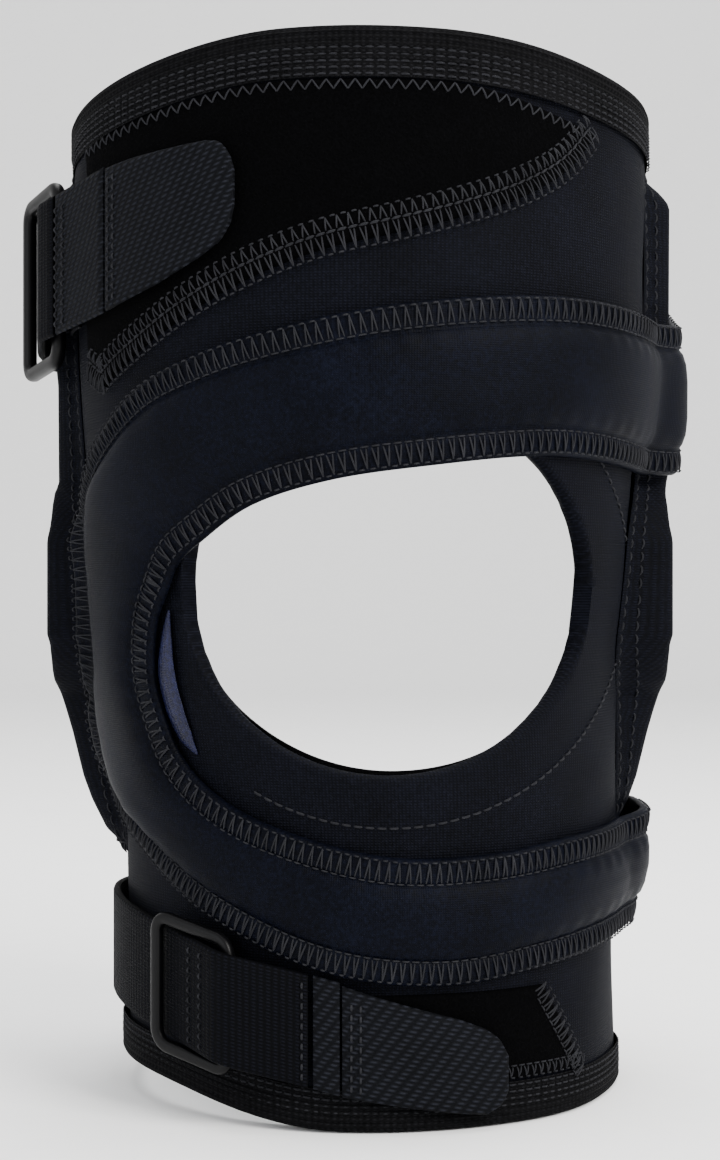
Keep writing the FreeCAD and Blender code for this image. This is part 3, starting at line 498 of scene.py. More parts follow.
def mapped(tree, use_uv, scale=(1.0, 1.0, 1.0), turn=0.0):
    """Coordinates in millimetres: the weave's own where the piece has them, or the object's."""
    source = node(tree, "ShaderNodeTexCoord")
    mapping = node(tree, "ShaderNodeMapping")
    unit = 1.0 if use_uv else 1.0 / MM
    mapping.inputs["Scale"].default_value = tuple(s * unit for s in scale)
    mapping.inputs["Rotation"].default_value = (0.0, 0.0, turn)
    tree.links.new(source.outputs["UV" if use_uv else "Object"], mapping.inputs["Vector"])
    return mapping.outputs["Vector"]


def noise(tree, vector, scale, detail=3.0, rough=0.55):
    made = node(tree, "ShaderNodeTexNoise", Scale=scale, Detail=detail, Roughness=rough)
    tree.links.new(vector, made.inputs["Vector"])
    return made.outputs["Fac"]


WAVE_UNIT = 0.314159     # period of a wave texture whose scale is 1


def waves(tree, vector, period, direction="X", distortion=0.0):
    """Bands of that period, in millimetres."""
    made = node(tree, "ShaderNodeTexWave", Scale=WAVE_UNIT / period, Distortion=distortion, Detail=1.5)
    made.bands_direction = direction
    made.inputs["Detail Scale"].default_value = 1.5
    tree.links.new(vector, made.inputs["Vector"])
    return made.outputs["Fac"]


def cells(tree, vector, scale):
    made = node(tree, "ShaderNodeTexVoronoi", Scale=scale)
    tree.links.new(vector, made.inputs["Vector"])
    return made.outputs["Distance"]


def finish_material(name, build, rough, sheen=0.0, sheen_tint=(1, 1, 1), metal=0.0, specular=0.03):
    """A material whose colour, roughness and relief come from build(tree)."""
    made = bpy.data.materials.new(name)
    made.use_nodes = True
    tree = made.node_tree
    shader = next(n for n in tree.nodes if n.type == "BSDF_PRINCIPLED")
    colour, roughness, relief, depth = build(tree)
    tree.links.new(colour, shader.inputs["Base Color"])
    span = node(tree, "ShaderNodeMapRange")
    span.inputs["To Min"].default_value = rough[0]
    span.inputs["To Max"].default_value = rough[1]
    tree.links.new(roughness, span.inputs["Value"])
    tree.links.new(span.outputs["Result"], shader.inputs["Roughness"])
    bump = node(tree, "ShaderNodeBump", Strength=0.9)
    bump.inputs["Distance"].default_value = depth * MM
    tree.links.new(relief, bump.inputs["Height"])
    tree.links.new(bump.outputs["Normal"], shader.inputs["Normal"])
    shader.inputs["Sheen Weight"].default_value = sheen
    shader.inputs["Sheen Tint"].default_value = (*sheen_tint, 1.0)
    shader.inputs["Sheen Roughness"].default_value = 0.45
    shader.inputs["Metallic"].default_value = metal
    shader.inputs["Specular IOR Level"].default_value = specular
    return made


def shades(tree, mix, colour, darker, lighter, stops):
    """The colour in the middle of the mix, and darker and lighter tones of it towards the ends."""
    tones = [tuple(c * factor for c in colour) for factor in (darker, 1.0, lighter)]
    return ramp(tree, mix, list(zip(stops, tones)))


def knit(colour, rib=0.9, course=0.65, mottle=0.35, depth=0.14):
    """Fine jersey over foam: rows of small loops, with slow changes of colour."""
    def build(tree):
        vector = mapped(tree, True)
        columns = waves(tree, vector, rib, "X", 0.6)
        courses = waves(tree, vector, course, "Y", 0.8)
        loops = maths(tree, "MULTIPLY", columns, courses)
        slow = noise(tree, mapped(tree, False), 0.06, 4.0)
        fine = noise(tree, mapped(tree, False), 1.1, 3.0, 0.7)
        mix = maths(tree, "MULTIPLY_ADD", loops, 0.35, maths(tree, "MULTIPLY", slow, mottle))
        mix = maths(tree, "MULTIPLY_ADD", fine, 0.8, mix)
        shade = shades(tree, mix, colour, 0.35, 2.6, (0.42, 0.66, 0.95))
        relief = maths(tree, "MULTIPLY_ADD", fine, 0.5, loops)
        return shade, mix, relief, depth
    return build


def plush(colour, depth=0.45):
    """Brushed loop: a matt pile of tiny tangled loops."""
    def build(tree):
        vector = mapped(tree, False)
        tangle = noise(tree, vector, 1.6, 6.0, 0.75)
        pile = cells(tree, vector, 1.5)
        slow = noise(tree, vector, 0.09, 3.0)
        mix = maths(tree, "MULTIPLY_ADD", pile, 0.5, maths(tree, "MULTIPLY", tangle, 0.7))
        mix = maths(tree, "MULTIPLY_ADD", slow, 0.3, mix)
        shade = shades(tree, mix, colour, 0.4, 2.2, (0.3, 0.6, 1.0))
        return shade, tangle, mix, depth
    return build


def twill(colour, ribs=2.1, turn=0.6, depth=0.35, cross=1.1):
    """Woven tape: strong slanted ribs crossed by finer yarns."""
    def build(tree):
        slanted = mapped(tree, True, turn=turn)
        square = mapped(tree, True)
        rib = waves(tree, slanted, ribs, "X", 0.5)
        yarn = waves(tree, square, cross, "Y", 0.4)
        lace = maths(tree, "MULTIPLY", rib, yarn)
        fine = noise(tree, mapped(tree, False), 2.2, 3.0)
        slow = noise(tree, mapped(tree, False), 0.07, 3.0)
        mix = maths(tree, "MULTIPLY_ADD", fine, 0.35, maths(tree, "MULTIPLY", lace, 0.75))
        mix = maths(tree, "MULTIPLY_ADD", slow, 0.25, mix)
        shade = shades(tree, mix, colour, 0.3, 2.8, (0.2, 0.5, 0.9))
        return shade, mix, mix, depth
    return build


def satin(colour, depth=0.06):
    """Smooth woven nylon with a soft gleam."""
    def build(tree):
        vector = mapped(tree, True)
        warp = waves(tree, vector, 0.55, "X", 0.3)
        weave = maths(tree, "MULTIPLY", warp, waves(tree, vector, 0.5, "Y", 0.3))
        slow = noise(tree, mapped(tree, False), 0.05, 4.0)
        fine = noise(tree, mapped(tree, False), 1.1, 3.0, 0.7)
        mix = maths(tree, "MULTIPLY_ADD", slow, 0.4, maths(tree, "MULTIPLY", fine, 0.8))
        shade = shades(tree, mix, colour, 0.35, 2.6, (0.42, 0.6, 0.85))
        return shade, mix, maths(tree, "MULTIPLY_ADD", fine, 0.6, weave), depth
    return build


def grained(colour, scale=0.5, depth=0.05, stretch=(1.0, 1.0, 1.0), spread=1.4):
    """Moulded, cast or brushed surfaces."""
    def build(tree):
        vector = mapped(tree, False, stretch)
        grain = noise(tree, vector, scale, 6.0, 0.65)
        wear = noise(tree, mapped(tree, False), 0.12, 4.0)
        mix = maths(tree, "MULTIPLY_ADD", grain, 0.5, maths(tree, "MULTIPLY", wear, 0.5))
        shade = shades(tree, mix, colour, 1 / spread, spread, (0.3, 0.55, 0.8))
        return shade, mix, grain, depth
    return build


NAVY = (0.0015, 0.0017, 0.0030)
BLUE = (0.62, 0.68, 1.0)          # tint of the soft gleam on the navy fabrics
SOFT = 0.003                      # weight of that gleam
BRUSHED = (1.0, 1.0, 0.05)        # grain drawn out along the arms


def make_materials():
    """Every finish under a short name: its full name, its pattern, its roughness from and to, its gleam."""
    tape = twill((0.0034, 0.0037, 0.0050), depth=0.5)
    elastic = twill((0.0011, 0.0012, 0.0019), 1.5, 0.0, 0.3, 0.8)
    webbing = twill((0.0010, 0.0011, 0.0018), 1.8, 0.0, 0.2, 1.0)
    rib = knit((0.0024, 0.0024, 0.0028), 1.5, 0.8, 0.3, 0.25)
    lining = knit((0.0008, 0.0008, 0.0010), mottle=0.2)
    piping = satin((0.0035, 0.0042, 0.017), 0.10)
    thread = grained((0.0135, 0.0138, 0.0160), 2.5, 0.05, spread=1.8)
    nylon = grained((0.0011, 0.0011, 0.0014), 0.8, 0.02)
    bar = grained((0.60, 0.61, 0.63), 0.6, 0.02, BRUSHED, 1.15)
    plate = grained((0.42, 0.42, 0.43), 0.9, 0.02, spread=1.2)
    rubber = grained((0.012, 0.012, 0.012), 1.2, 0.04)
    return {
        "sleeve": finish_material("neoprene_jersey", knit(NAVY), (0.5, 0.8), SOFT, BLUE),
        "lining": finish_material("neoprene_lining", lining, (0.6, 0.9)),
        "pad": finish_material("pad_nylon", satin((0.0009, 0.0012, 0.0029)), (0.38, 0.6), SOFT, BLUE),
        "plush": finish_material("brushed_loop", plush((0.0004, 0.0004, 0.0005)), (0.9, 1.0), specular=0.02),
        "hem": finish_material("hem_rib_knit", rib, (0.6, 0.9), SOFT),
        "tab": finish_material("hook_tape", tape, (0.5, 0.85), SOFT),
        "elastic": finish_material("woven_elastic", elastic, (0.55, 0.85), SOFT),
        "webbing": finish_material("nylon_webbing", webbing, (0.45, 0.75), SOFT),
        "hook": finish_material("hook_teeth", plush((0.003, 0.003, 0.0035), 0.6), (0.5, 0.8)),
        "pocket": finish_material("pocket_jersey", knit((0.0013, 0.0015, 0.0027)), (0.5, 0.8), SOFT, BLUE),
        "thread": finish_material("seam_thread", thread, (0.5, 0.7), 0.004),
        "ring": finish_material("ring_nylon", nylon, (0.3, 0.45), specular=0.10),
        "piping": finish_material("satin_piping", piping, (0.25, 0.4), specular=0.15),
        "foam": finish_material("hinge_foam", plush((0.02, 0.02, 0.022), 0.3), (0.8, 1.0)),
        "aluminium": finish_material("brushed_aluminium", bar, (0.28, 0.42), metal=1.0, specular=0.5),
        "steel": finish_material("hinge_steel", plate, (0.25, 0.4), metal=1.0),
        "rubber": finish_material("cap_rubber", rubber, (0.6, 0.8)),
    }


materials = make_materials()


# ---------------------------------------------------------------- sleeve

UPPER = ("thigh", "hinge_link", (0.0, 0.0, BLEND_TOP * MM), (0.0, 0.0, SPLIT * MM))
LOWER = ("hinge_link", "calf", (0.0, 0.0, SPLIT * MM), (0.0, 0.0, BLEND_BOTTOM * MM))


def crossing(piece):
    """Bake the placement of a piece that crosses the knee into its mesh."""
    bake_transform(piece)


def dress(piece, body=None, zone=None):
    """Attach a piece to the body it rides, or, if it crosses the knee, bake its placement."""
    if zone:
        crossing(piece)
    else:
        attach(piece, body)


def notch_rise(y):
    """How far the opening behind the knee reaches above and below the split."""
    over = np.maximum(np.asarray(y, float) - NOTCH_Y, 0.0)
    eased = over * over / (over + 1.5)
    return np.minimum(eased * 1.25, 54.0 + 0.10 * over)


WINDOW_STEPS = 61        # points of a half's edge that lie along the window


def sleeve_edge(upper):
    """The unrolled line round the sleeve where a half ends at the knee: window, split and notch."""
    sign = 1.0 if upper else -1.0
    line = []
    left = math.pi if upper else -math.pi
    for t in np.linspace(left, 0.0, WINDOW_STEPS):
        x = WINDOW[0] + WINDOW_HALF[0] * math.cos(t)
        z = WINDOW[1] + WINDOW_HALF[1] * math.sin(t)
        line.append((u_of_x(x, z, sleeve_top), z))
    first_u, last_u = line[0][0], line[-1][0]
    for u in np.linspace(last_u, first_u + ROUND, 160)[1:-1]:
        y = base(SPLIT) * math.sin(u / UNROLL)
        line.append((u, SPLIT + sign * float(notch_rise(y))))
    return np.array(line)


def sleeve_half(name, upper, material, node_name):
    """The thigh or calf half of the sleeve, from its edge at the knee to inside its hem."""
    edge = sleeve_edge(upper)
    count = len(edge)
    even = edge[0, 0] + np.arange(count) / count * ROUND
    tuck = 4.0
    far_z = rim(even) - tuck if upper else low_rim(even) + tuck
    near = np.array([0.0, 0.006, 0.014, 0.026])
    shares = np.concatenate([near, np.linspace(0.045, 1.0, 34)])
    u = edge[:, 0, None] + (even - edge[:, 0])[:, None] * smooth(shares * 1.15)[None, :]
    z = edge[:, 1, None] + (far_z - edge[:, 1])[:, None] * shares[None, :]
    distance = np.abs(z - edge[:, 1, None])
    open_edge = smooth(np.abs(edge[:, 1, None] - SPLIT) / 2.0)
    thick = WALL * (1 - open_edge * (1 - edge_round(distance, 2.2)))
    middle = sleeve_top(u, z) - WALL / 2
    piece = cloth(name, u, z, middle + thick / 2, middle - thick / 2, material, wrap=True)
    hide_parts(node_name)
    dress(piece, zone=UPPER if upper else LOWER)
    return edge


upper_edge = sleeve_half("upper_sleeve", True, materials["sleeve"], "thigh_sleeve")
lower_edge = sleeve_half("lower_sleeve", False, materials["sleeve"], "calf_sleeve")


# ---------------------------------------------------------------- hems

PLAIN = 0.34             # share of a hem next to the rim that has no stitching


def hem_outline(depth, rows):
    """Section of a binding as (out, up) from the rim: ribbed outside, rounded over the rim, flat inside."""
    steps = 60
    lip = 0.8
    outside = []
    for k in range(steps, -1, -1):
        t = k / steps
        sewn = max(0.0, t - PLAIN) / (1 - PLAIN)
        swell = 0.45 * abs(math.sin(math.pi * rows * sewn)) if 0 < t < 1 else 0.0
        outside.append((lip - 0.75 * smooth((t - 0.93) / 0.07) + swell, -depth * (1 - t)))
    over = [(3.3 * math.cos(a) - 2.4, 0.9 * math.sin(a)) for a in np.linspace(0.15, math.pi - 0.15, 9)]
    inside = [(-WALL - 0.5, -depth * t) for t in np.linspace(0.05, 0.9, 6)]
    return outside + over + inside + [(-2.5, -depth * 0.95)]


def hem(name, node_name, body, height_at, down, radius_at, depth, rows):
    """A knitted binding folded over a rim, with raised rows of stitching."""
    count = 260
    drop = 0.9
    path = []
    for i in range(count):
        u = ROUND * i / count
        top = float(height_at(u)) - drop * down
        at = place(u, top, float(radius_at(u, top)))
        angle = u / UNROLL
        path.append((at, (math.cos(angle), math.sin(angle), 0.0), (0.0, 0.0, down)))
    piece = tube(name, path, hem_outline(depth, rows), materials["hem"])
    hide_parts(node_name)
    dress(piece, body)
    made = []
    us = np.linspace(0.0, ROUND, 720)
    for k in range(rows):
        below = drop + depth * (PLAIN + (1 - PLAIN) * (k + 0.5) / rows)
        line = np.column_stack([us, height_at(us) - down * below])
        made += dashes(line, lambda u, z: radius_at(u, z) + 1.0, 1.7, 0.8)
    dress(threads(name + "_rows", made, 0.23, materials["thread"], 4), body)


hem("thigh_hem_knit", "thigh_hem", "thigh", rim, 1.0, sleeve_top, 11.0, 5)
hem("calf_hem_knit", "calf_hem", "calf", low_rim, -1.0, sleeve_top, 9.0, 4)


# ---------------------------------------------------------------- window pads and piping

# Thickness of the foam ring, as (distance from its inner edge, thickness).
RING_CROWN = ((0.0, 0.5), (0.3, 1.5), (0.9, 2.3), (3.0, 3.1), (6.5, 3.3), (10.0, 3.0), (12.0, 2.0),
              (13.0, 0.4))


def window_pad(name, upper, node_name):
    """Half of the foam ring inside the sleeve round the kneecap window."""
    sign = 1.0 if upper else -1.0
    inset = 0.8
    turns = np.linspace(0.012, math.pi - 0.012, 96)
    widths = np.array([0.0, 0.3, 0.9, 1.8, 3.0, 4.5, 6.5, 8.5, 10.0, 11.2, 12.0, 12.6, 13.0])
    u = np.zeros((len(turns), len(widths)))
    z = np.zeros_like(u)
    for i, t in enumerate(turns):
        for j, width in enumerate(widths):
            x = WINDOW[0] + (WINDOW_HALF[0] - inset + width) * math.cos(t)
            z[i, j] = WINDOW[1] + sign * (WINDOW_HALF[1] - inset + width) * math.sin(t)
            angle = math.acos(max(-1.0, min(1.0, x / float(base(z[i, j]) - WALL))))
            u[i, j] = (2 * math.pi - angle) * UNROLL
    crown = table(RING_CROWN, widths)
    face = sleeve_top(u, z) - WALL - 0.1
    piece = cloth(name, u, z, face, face - crown[None, :], materials["lining"])
    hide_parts(node_name)
    dress(piece, zone=UPPER if upper else LOWER)


window_pad("upper_window_ring", True, "window_pad_upper")
window_pad("lower_window_ring", False, "window_pad_lower")


def window_line(grow, first, last, count=160):
    """An unrolled line round the window, that far outside its edge, between two angles in degrees."""
    line = []
    for t in np.radians(np.linspace(first, last, count)):
        x = WINDOW[0] + (WINDOW_HALF[0] + grow) * math.cos(t)
        z = WINDOW[1] + (WINDOW_HALF[1] + grow) * math.sin(t)
        line.append((u_of_x(x, z, sleeve_top), z))
    return np.array(line)


def crescent():
    """The satin piping that shows between the window and the C-shaped pad, from (x, z, half width)."""
    stations = ((-44.2, 119.0, 0.3), (-44.6, 112.0, 1.9), (-44.4, 104.0, 3.2), (-42.6, 96.0, 3.3),
                (-40.0, 89.5, 2.4), (-37.6, 85.6, 0.4))
    step = 1.2
    line = catmull([(u_of_x(x, z, sleeve_top), z) for x, z, half in stations], step)
    widths = 0.94 * table([(z, half) for x, z, half in reversed(stations)], line[:, 1])
    turns = np.linspace(0, 2 * math.pi, 17)[:-1]
    points = []
    for at, across, width in zip(line, side_of(line), widths):
        for t in turns:
            spot = at + across * width * math.cos(t)
            lift = 0.15 + 1.7 * (width / 3.3) ** 0.5 * (0.5 + 0.5 * math.sin(t))
            points.append(place(spot[0], spot[1], float(sleeve_top(*spot)) + lift))
    rows = len(turns)
    around = 0.5
    faces = []
    corners = []
    for i in range(len(line) - 1):
        for j in range(rows):
            k = (j + 1) % rows
            faces.append([i * rows + j, (i + 1) * rows + j, (i + 1) * rows + k, i * rows + k])
            low, high = j * around, (j + 1) * around
            corners += [(i * step, low), ((i + 1) * step, low), ((i + 1) * step, high), (i * step, high)]
    for i in (0, len(line) - 1):
        faces.append([i * rows + j for j in range(rows)])
        corners += [(i * step, 0.0)] * rows
    piece = make_object("buttress_crescent", points, faces, corners, materials["piping"])
    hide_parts("buttress_piping")
    dress(piece, zone=LOWER)


crescent()


# ---------------------------------------------------------------- the C-shaped kneecap pad

# Each station: inner edge (x, z), outer edge (x, z). A first number above 100 is an angle in degrees.
PAD_TOP = (((408.0, 178.0), (408.0, 211.0)), ((394.0, 171.5), (394.0, 206.0)),
           ((380.0, 164.6), (380.0, 200.5)), ((360.0, 153.5), (360.0, 191.5)),
           ((345.0, 152.6), (345.0, 190.2)))
PAD_FRONT = (((45.0, 154.6), (45.5, 191.0)), ((15.4, 151.6), (12.0, 187.8)),
             ((-7.0, 148.3), (-14.0, 183.3)), ((-25.0, 142.8), (-38.0, 177.0)),
             ((-36.6, 135.2), (-54.6, 168.8)), ((-42.6, 129.6), (-68.5, 146.0)))
PAD_SPLIT = ((-45.2, SPLIT), (-71.0, SPLIT))
PAD_BELOW = (((-48.2, 115.5), (-71.0, 112.0)), ((-49.0, 104.0), (-70.5, 106.0)),
             ((-47.0, 95.5), (-68.8, 92.0)), ((-42.8, 85.5), (-63.5, 77.2)),
             ((-33.0, 75.9), (-53.0, 62.5)), ((-16.0, 68.4), (-35.4, 48.4)),
             ((8.7, 63.0), (-8.0, 37.0)), ((31.2, 63.2), (18.0, 33.6)), ((50.0, 65.5), (42.0, 36.0)))
PAD_BOTTOM = (((345.0, 67.6), (345.0, 39.8)), ((360.0, 69.0), (360.0, 40.0)),
              ((375.0, 69.0), (375.0, 38.0)), ((394.0, 68.6), (394.0, 36.0)),
              ((412.0, 68.0), (412.0, 35.0)))
PAD_GAP = 0.4            # how far the pad stands off what it lies on
SEAM = 6.4               # width of the flat seam along its edges
SEAM_TOP = 2.45          # height of that seam


def pad_station(spot):
    """The unrolled place of a station's edge."""
    x, z = spot
    if x > 100.0:
        return (to_u(x), z)
    return (u_of_x(x, z, lambda u, z: pad_under(u, z) + 2.0), z)


def pad_edges(stations):
    """The pad's inner and outer edges, with matching points."""
    both = catmull([(*pad_station(inner), *pad_station(outer)) for inner, outer in stations], 1.6)
    return both[:, :2], both[:, 2:]


def pad_height(distance, along):
    """Thickness of the pad at that distance from its nearest edge."""
    seam = np.interp(distance, [0.0, 0.5, 1.2, 5.6, SEAM, 7.6, 10.0, 14.0],
                     [0.9, 1.7, 2.1, SEAM_TOP, 2.15, 3.1, 3.9, 4.3])
    pucker = 0.16 * np.sin(along * 1.05) * np.exp(-((distance - SEAM - 1.6) / 1.8) ** 2)
    return seam + pucker


def pad_seam_height(u, z):
    """The top of the flat seam along the pad's edges."""
    return pad_under(u, z) + PAD_GAP + SEAM_TOP


def pad_half(name, stations, node_name, zone):
    """The part of the pad above or below the knee, padded in the middle, with its ladder seams."""
    inner, outer = pad_edges(stations)
    width = np.linalg.norm(outer - inner, axis=1)
    near = np.array([0.0, 0.25, 0.6, 1.2, 2.2, 3.4, 4.6, 5.6, SEAM, 7.0, 7.6, 8.6, 10.0])
    columns = len(inner)
    shares = np.zeros((columns, 2 * len(near) + 7))
    for i, w in enumerate(width):
        edge = near / w
        mid = np.linspace(edge[-1], 1 - edge[-1], 9)[1:-1]
        shares[i] = np.concatenate([edge, mid, 1 - edge[::-1]])
    u, z = between(inner, outer, shares)
    distance = np.minimum(shares, 1 - shares) * width[:, None]
    under = pad_under(u, z)
    top = under + PAD_GAP + pad_height(distance, distances(inner)[:, None])
    bottom = under + np.where(distance < 0.1, 0.5, 0.2)
    piece = cloth(name, u, z, top, bottom, materials["pad"])
    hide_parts(node_name)
    dress(piece, zone=zone)
    for edge_name, line, other in (("inner", inner, outer), ("outer", outer, inner)):
        sign = 1.0 if float(np.mean(np.sum(side_of(line) * (other - line), axis=1))) > 0 else -1.0
        made = ladder(line, pad_seam_height, sign * 0.9, sign * 5.4)
        seam = threads("%s_%s_seam" % (name, edge_name), made, 0.22, materials["thread"])
        dress(seam, zone=zone)


pad_half("upper_pad_cover", PAD_TOP + PAD_FRONT + (PAD_SPLIT,), "upper_pad_band", UPPER)
pad_half("lower_pad_cover", (PAD_SPLIT,) + PAD_BELOW + PAD_BOTTOM, "lower_pad_band", LOWER)


# ---------------------------------------------------------------- hinge and arm pockets

def pocket_panel(name, side, upper, node_names, zone):
    """The fabric channel that holds the arm, and half of the bulge over the hinge."""
    low, high = (SPLIT, 231.0) if upper else (57.0, SPLIT)
    heights = np.linspace(low, high, 76)
    spread = np.concatenate([[-1.0, -0.985, -0.95], np.linspace(-0.9, 0.9, 45), [0.95, 0.985, 1.0]])
    middle = side * math.degrees(math.asin(PIVOT_Y / 76.0))
    centre = to_u(middle if side > 0 else 180.0 + middle)
    half = table(HALF, heights) + 9.5
    reach = half * 0.92
    u = centre + reach[:, None] * spread[None, :]
    z = np.repeat(heights[:, None], len(spread), axis=1)
    distance = (1 - np.abs(spread))[None, :] * half[:, None]
    end = high if upper else low
    distance = np.minimum(distance, np.abs(z - end))
    thick = POCKET * edge_round(distance, 0.8)
    creases = 0.28 * smooth(78.5 - table(FACE_LOW, z)) * np.sin(z * 0.9 + u * 0.12)
    creases = creases * np.exp(-((distance - 4.0) / 2.5) ** 2)
    under = pocket_under(u, z)
    top = under + thick + creases * smooth(distance / 2.0)
    bottom = np.maximum(under - 0.15, sleeve_top(u, z) + 0.05)
    top = np.maximum(top, bottom + 0.1)
    piece = cloth(name, u, z, top, bottom, materials["pocket"])
    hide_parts(*node_names)
    dress(piece, zone=zone)
    lines = [np.column_stack([centre + direction * (reach - inset), heights])
             for direction in (-1.0, 1.0) for inset in (2.2, 5.0)]
    end_z = end - (2.5 if upper else -2.5)
    end_reach = float(table(HALF, end)) + 5.0
    end_u = np.linspace(centre - end_reach, centre + end_reach, 30)
    lines.append(np.column_stack([end_u, np.full_like(end_u, end_z)]))
    made = []
    for line in lines:
        made += dashes(line, pocket_top, 2.2, 1.1)
    stitched = threads(name + "_stitches", made, 0.28, materials["thread"])
    dress(stitched, zone=zone)


for side_name, side in (("lateral", -1.0), ("medial", 1.0)):
    pocket_panel(side_name + "_upper_channel", side, True,
                 [side_name + "_upper_pocket", side_name + "_hinge_cover"], UPPER)
    pocket_panel(side_name + "_lower_channel", side, False, [side_name + "_lower_pocket"], LOWER)


# ---------------------------------------------------------------- straps and tabs

def belt(supports, start, end, step):
    """Points of a belt pulled round circles, with angles at its first and last circle in degrees."""
    angles = [math.radians(start)]
    for (a, ra), (b, rb) in zip(supports, supports[1:]):
        run = (b[0] - a[0], b[1] - a[1])
        apart = math.hypot(*run)
        turn = math.atan2(run[1], run[0]) - math.acos((ra - rb) / apart)
        while turn < angles[-1] - 1e-6:
            turn += 2 * math.pi
        angles += [turn, turn]
    angles.append(math.radians(end))
    points = []
    for k, (centre, radius) in enumerate(supports):
        first, final = angles[2 * k], angles[2 * k + 1]
        count = max(2, int(abs(final - first) * radius / step))
        for t in np.linspace(first, final, count):
            points.append((centre[0] + radius * math.cos(t), centre[1] + radius * math.sin(t)))
    return resample(points, step)


def strap_lean(at, z):
    """As lean, but nothing as far as the rings' own pivots, which are fixed."""
    angle = math.atan2(at[1], at[0])
    return lean(z, angle) * smooth((math.degrees(angle) % 360.0 - 244.0) / 16.0)


def band(name, line, limits, thickness, material, rounded=0.9, leans=True):
    """An upright band along a line of (x, y), between the heights that limits gives for each point."""
    out = -side_of(line)
    spread = np.concatenate([[0.0, 0.012, 0.035, 0.07], np.linspace(0.1, 0.9, 17), [0.93, 0.965, 0.988, 1.0]])
    columns = len(line)
    outer = np.zeros((columns, len(spread), 3))
    inner = np.zeros_like(outer)
    flat = np.zeros((columns, len(spread), 2))
    along = distances(line)
    for i, (at, away) in enumerate(zip(line, out)):
        low, high = limits(at, i)
        z = low + (high - low) * spread
        distance = np.minimum(spread, 1 - spread) * (high - low)
        distance = np.minimum(distance, min(along[i], along[-1] - along[i]) + 0.12)
        half = thickness / 2 * edge_round(distance, rounded)
        shift = strap_lean(at, z) if leans else 0.0
        for grid, sign in ((outer, 1.0), (inner, -1.0)):
            grid[i, :, 0] = at[0] + away[0] * sign * half + shift
            grid[i, :, 1] = at[1] + away[1] * sign * half
            grid[i, :, 2] = z
        flat[i, :, 0] = along[i]
        flat[i, :, 1] = z - (low + high) / 2
    return shell(name, outer, inner, material, flat)


def plane_height(plane, at):
    """Height of a strap's plane at (x, y)."""
    return plane[0] + plane[1] * at[0] + plane[2] * at[1]


def strap_limits(plane, width):
    """Heights of a strap's edges round the leg; a slanted plane cuts it a little taller."""
    tall = width * math.sqrt(1 + plane[1] ** 2 + plane[2] ** 2)
    return lambda at, i: (plane_height(plane, at) - tall / 2, plane_height(plane, at) + tall / 2)


def seam_across(name, body, line, shares, limits, lift, inset):
    """Rows of stitches straight across a band, at some shares of its length."""
    out = -side_of(line)
    stitch = 1.5
    pitch = 2.3
    made = []
    for share in shares:
        i = int(share * (len(line) - 1))
        low, high = limits(line[i], i)
        away = np.array([*out[i], 0.0])
        z = low + inset
        while z < high - inset - stitch + 0.1:
            start, end = (np.array([line[i, 0] + strap_lean(line[i], h), line[i, 1], h]) + away * lift
                          for h in (z, z + stitch))
            made.append((start, end, away))
            z += pitch
    dress(threads(name, made, 0.28, materials["thread"]), body)


LOOP_TOP = 1.1           # how far a loop panel stands off the sleeve
HOOK_GAP = 0.4
HOOK = 0.6               # thickness of a hook patch
TAB = 1.8                # thickness of a tab's tape
TAB_MIDDLE = LOOP_TOP + HOOK_GAP + HOOK + TAB / 2
THIGH_RING = 1.9         # half the thickness of the thigh ring's bars
CALF_RING = 1.5
STEP = 1.2               # between the points of a strap


def over_keeper(bar):
    """Radius of a strap's middle where it turns over a keeper."""
    play = 0.15
    webbing = 1.0
    gap = 0.3
    return bar + play + webbing + gap + STRAP / 2


def strap(label, body, line, plane, width, seam_share, tacks):
    """A strap of woven elastic with a tape end, which starts at a share of the way along the line."""
    limits = strap_limits(plane, width)
    seam = int(len(line) * seam_share)
    web = band(label + "_web", line[:seam], limits, STRAP, materials["elastic"])
    end = band(label + "_end", line[seam:], limits, TAB, materials["tab"])
    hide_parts(label)
    for piece in (web, end):
        dress(piece, body)
    seam_across(label + "_tacks", body, line, tacks, limits, 1.05, 1.5)


thigh_line = belt([(AXIS, 74.4), ((-79.0, 19.5), 2.7), ((-79.0, 0.5), 2.7),
                   (THIGH_PIVOT, over_keeper(THIGH_RING)), (AXIS, THIGH_OUT + TAB_MIDDLE)], 84.0, 216.8, STEP)
strap("thigh_strap", "thigh", thigh_line, THIGH_PLANE, 34.0, 0.865, (0.015, 0.04, 0.875, 0.9))
calf_line = belt([(AXIS, 61.8), (CALF_PIVOT, over_keeper(CALF_RING)), (AXIS, CALF_OUT + TAB_MIDDLE)],
                 100.0, 264.4, STEP)
strap("calf_strap", "calf", calf_line, CALF_PLANE, 25.0, 0.965, (0.02, 0.05, 0.80, 0.825, 0.955))


def arc_line(radius, first, last):
    """Points about 1 mm apart round the leg, between two angles."""
    count = max(3, int(math.radians(last - first) * radius))
    return np.array([polar(radius, a) for a in np.linspace(first, last, count)])


def outline_limits(low_points, high_points):
    """Heights that follow an outline given across the front, as (x, z)."""
    return lambda at, i: (float(table(low_points, at[0])), float(table(high_points, at[0])))


def inset_limits(limits, inset):
    """The same heights, drawn in at both edges."""
    return lambda at, i: (limits(at, i)[0] + inset, limits(at, i)[1] - inset)


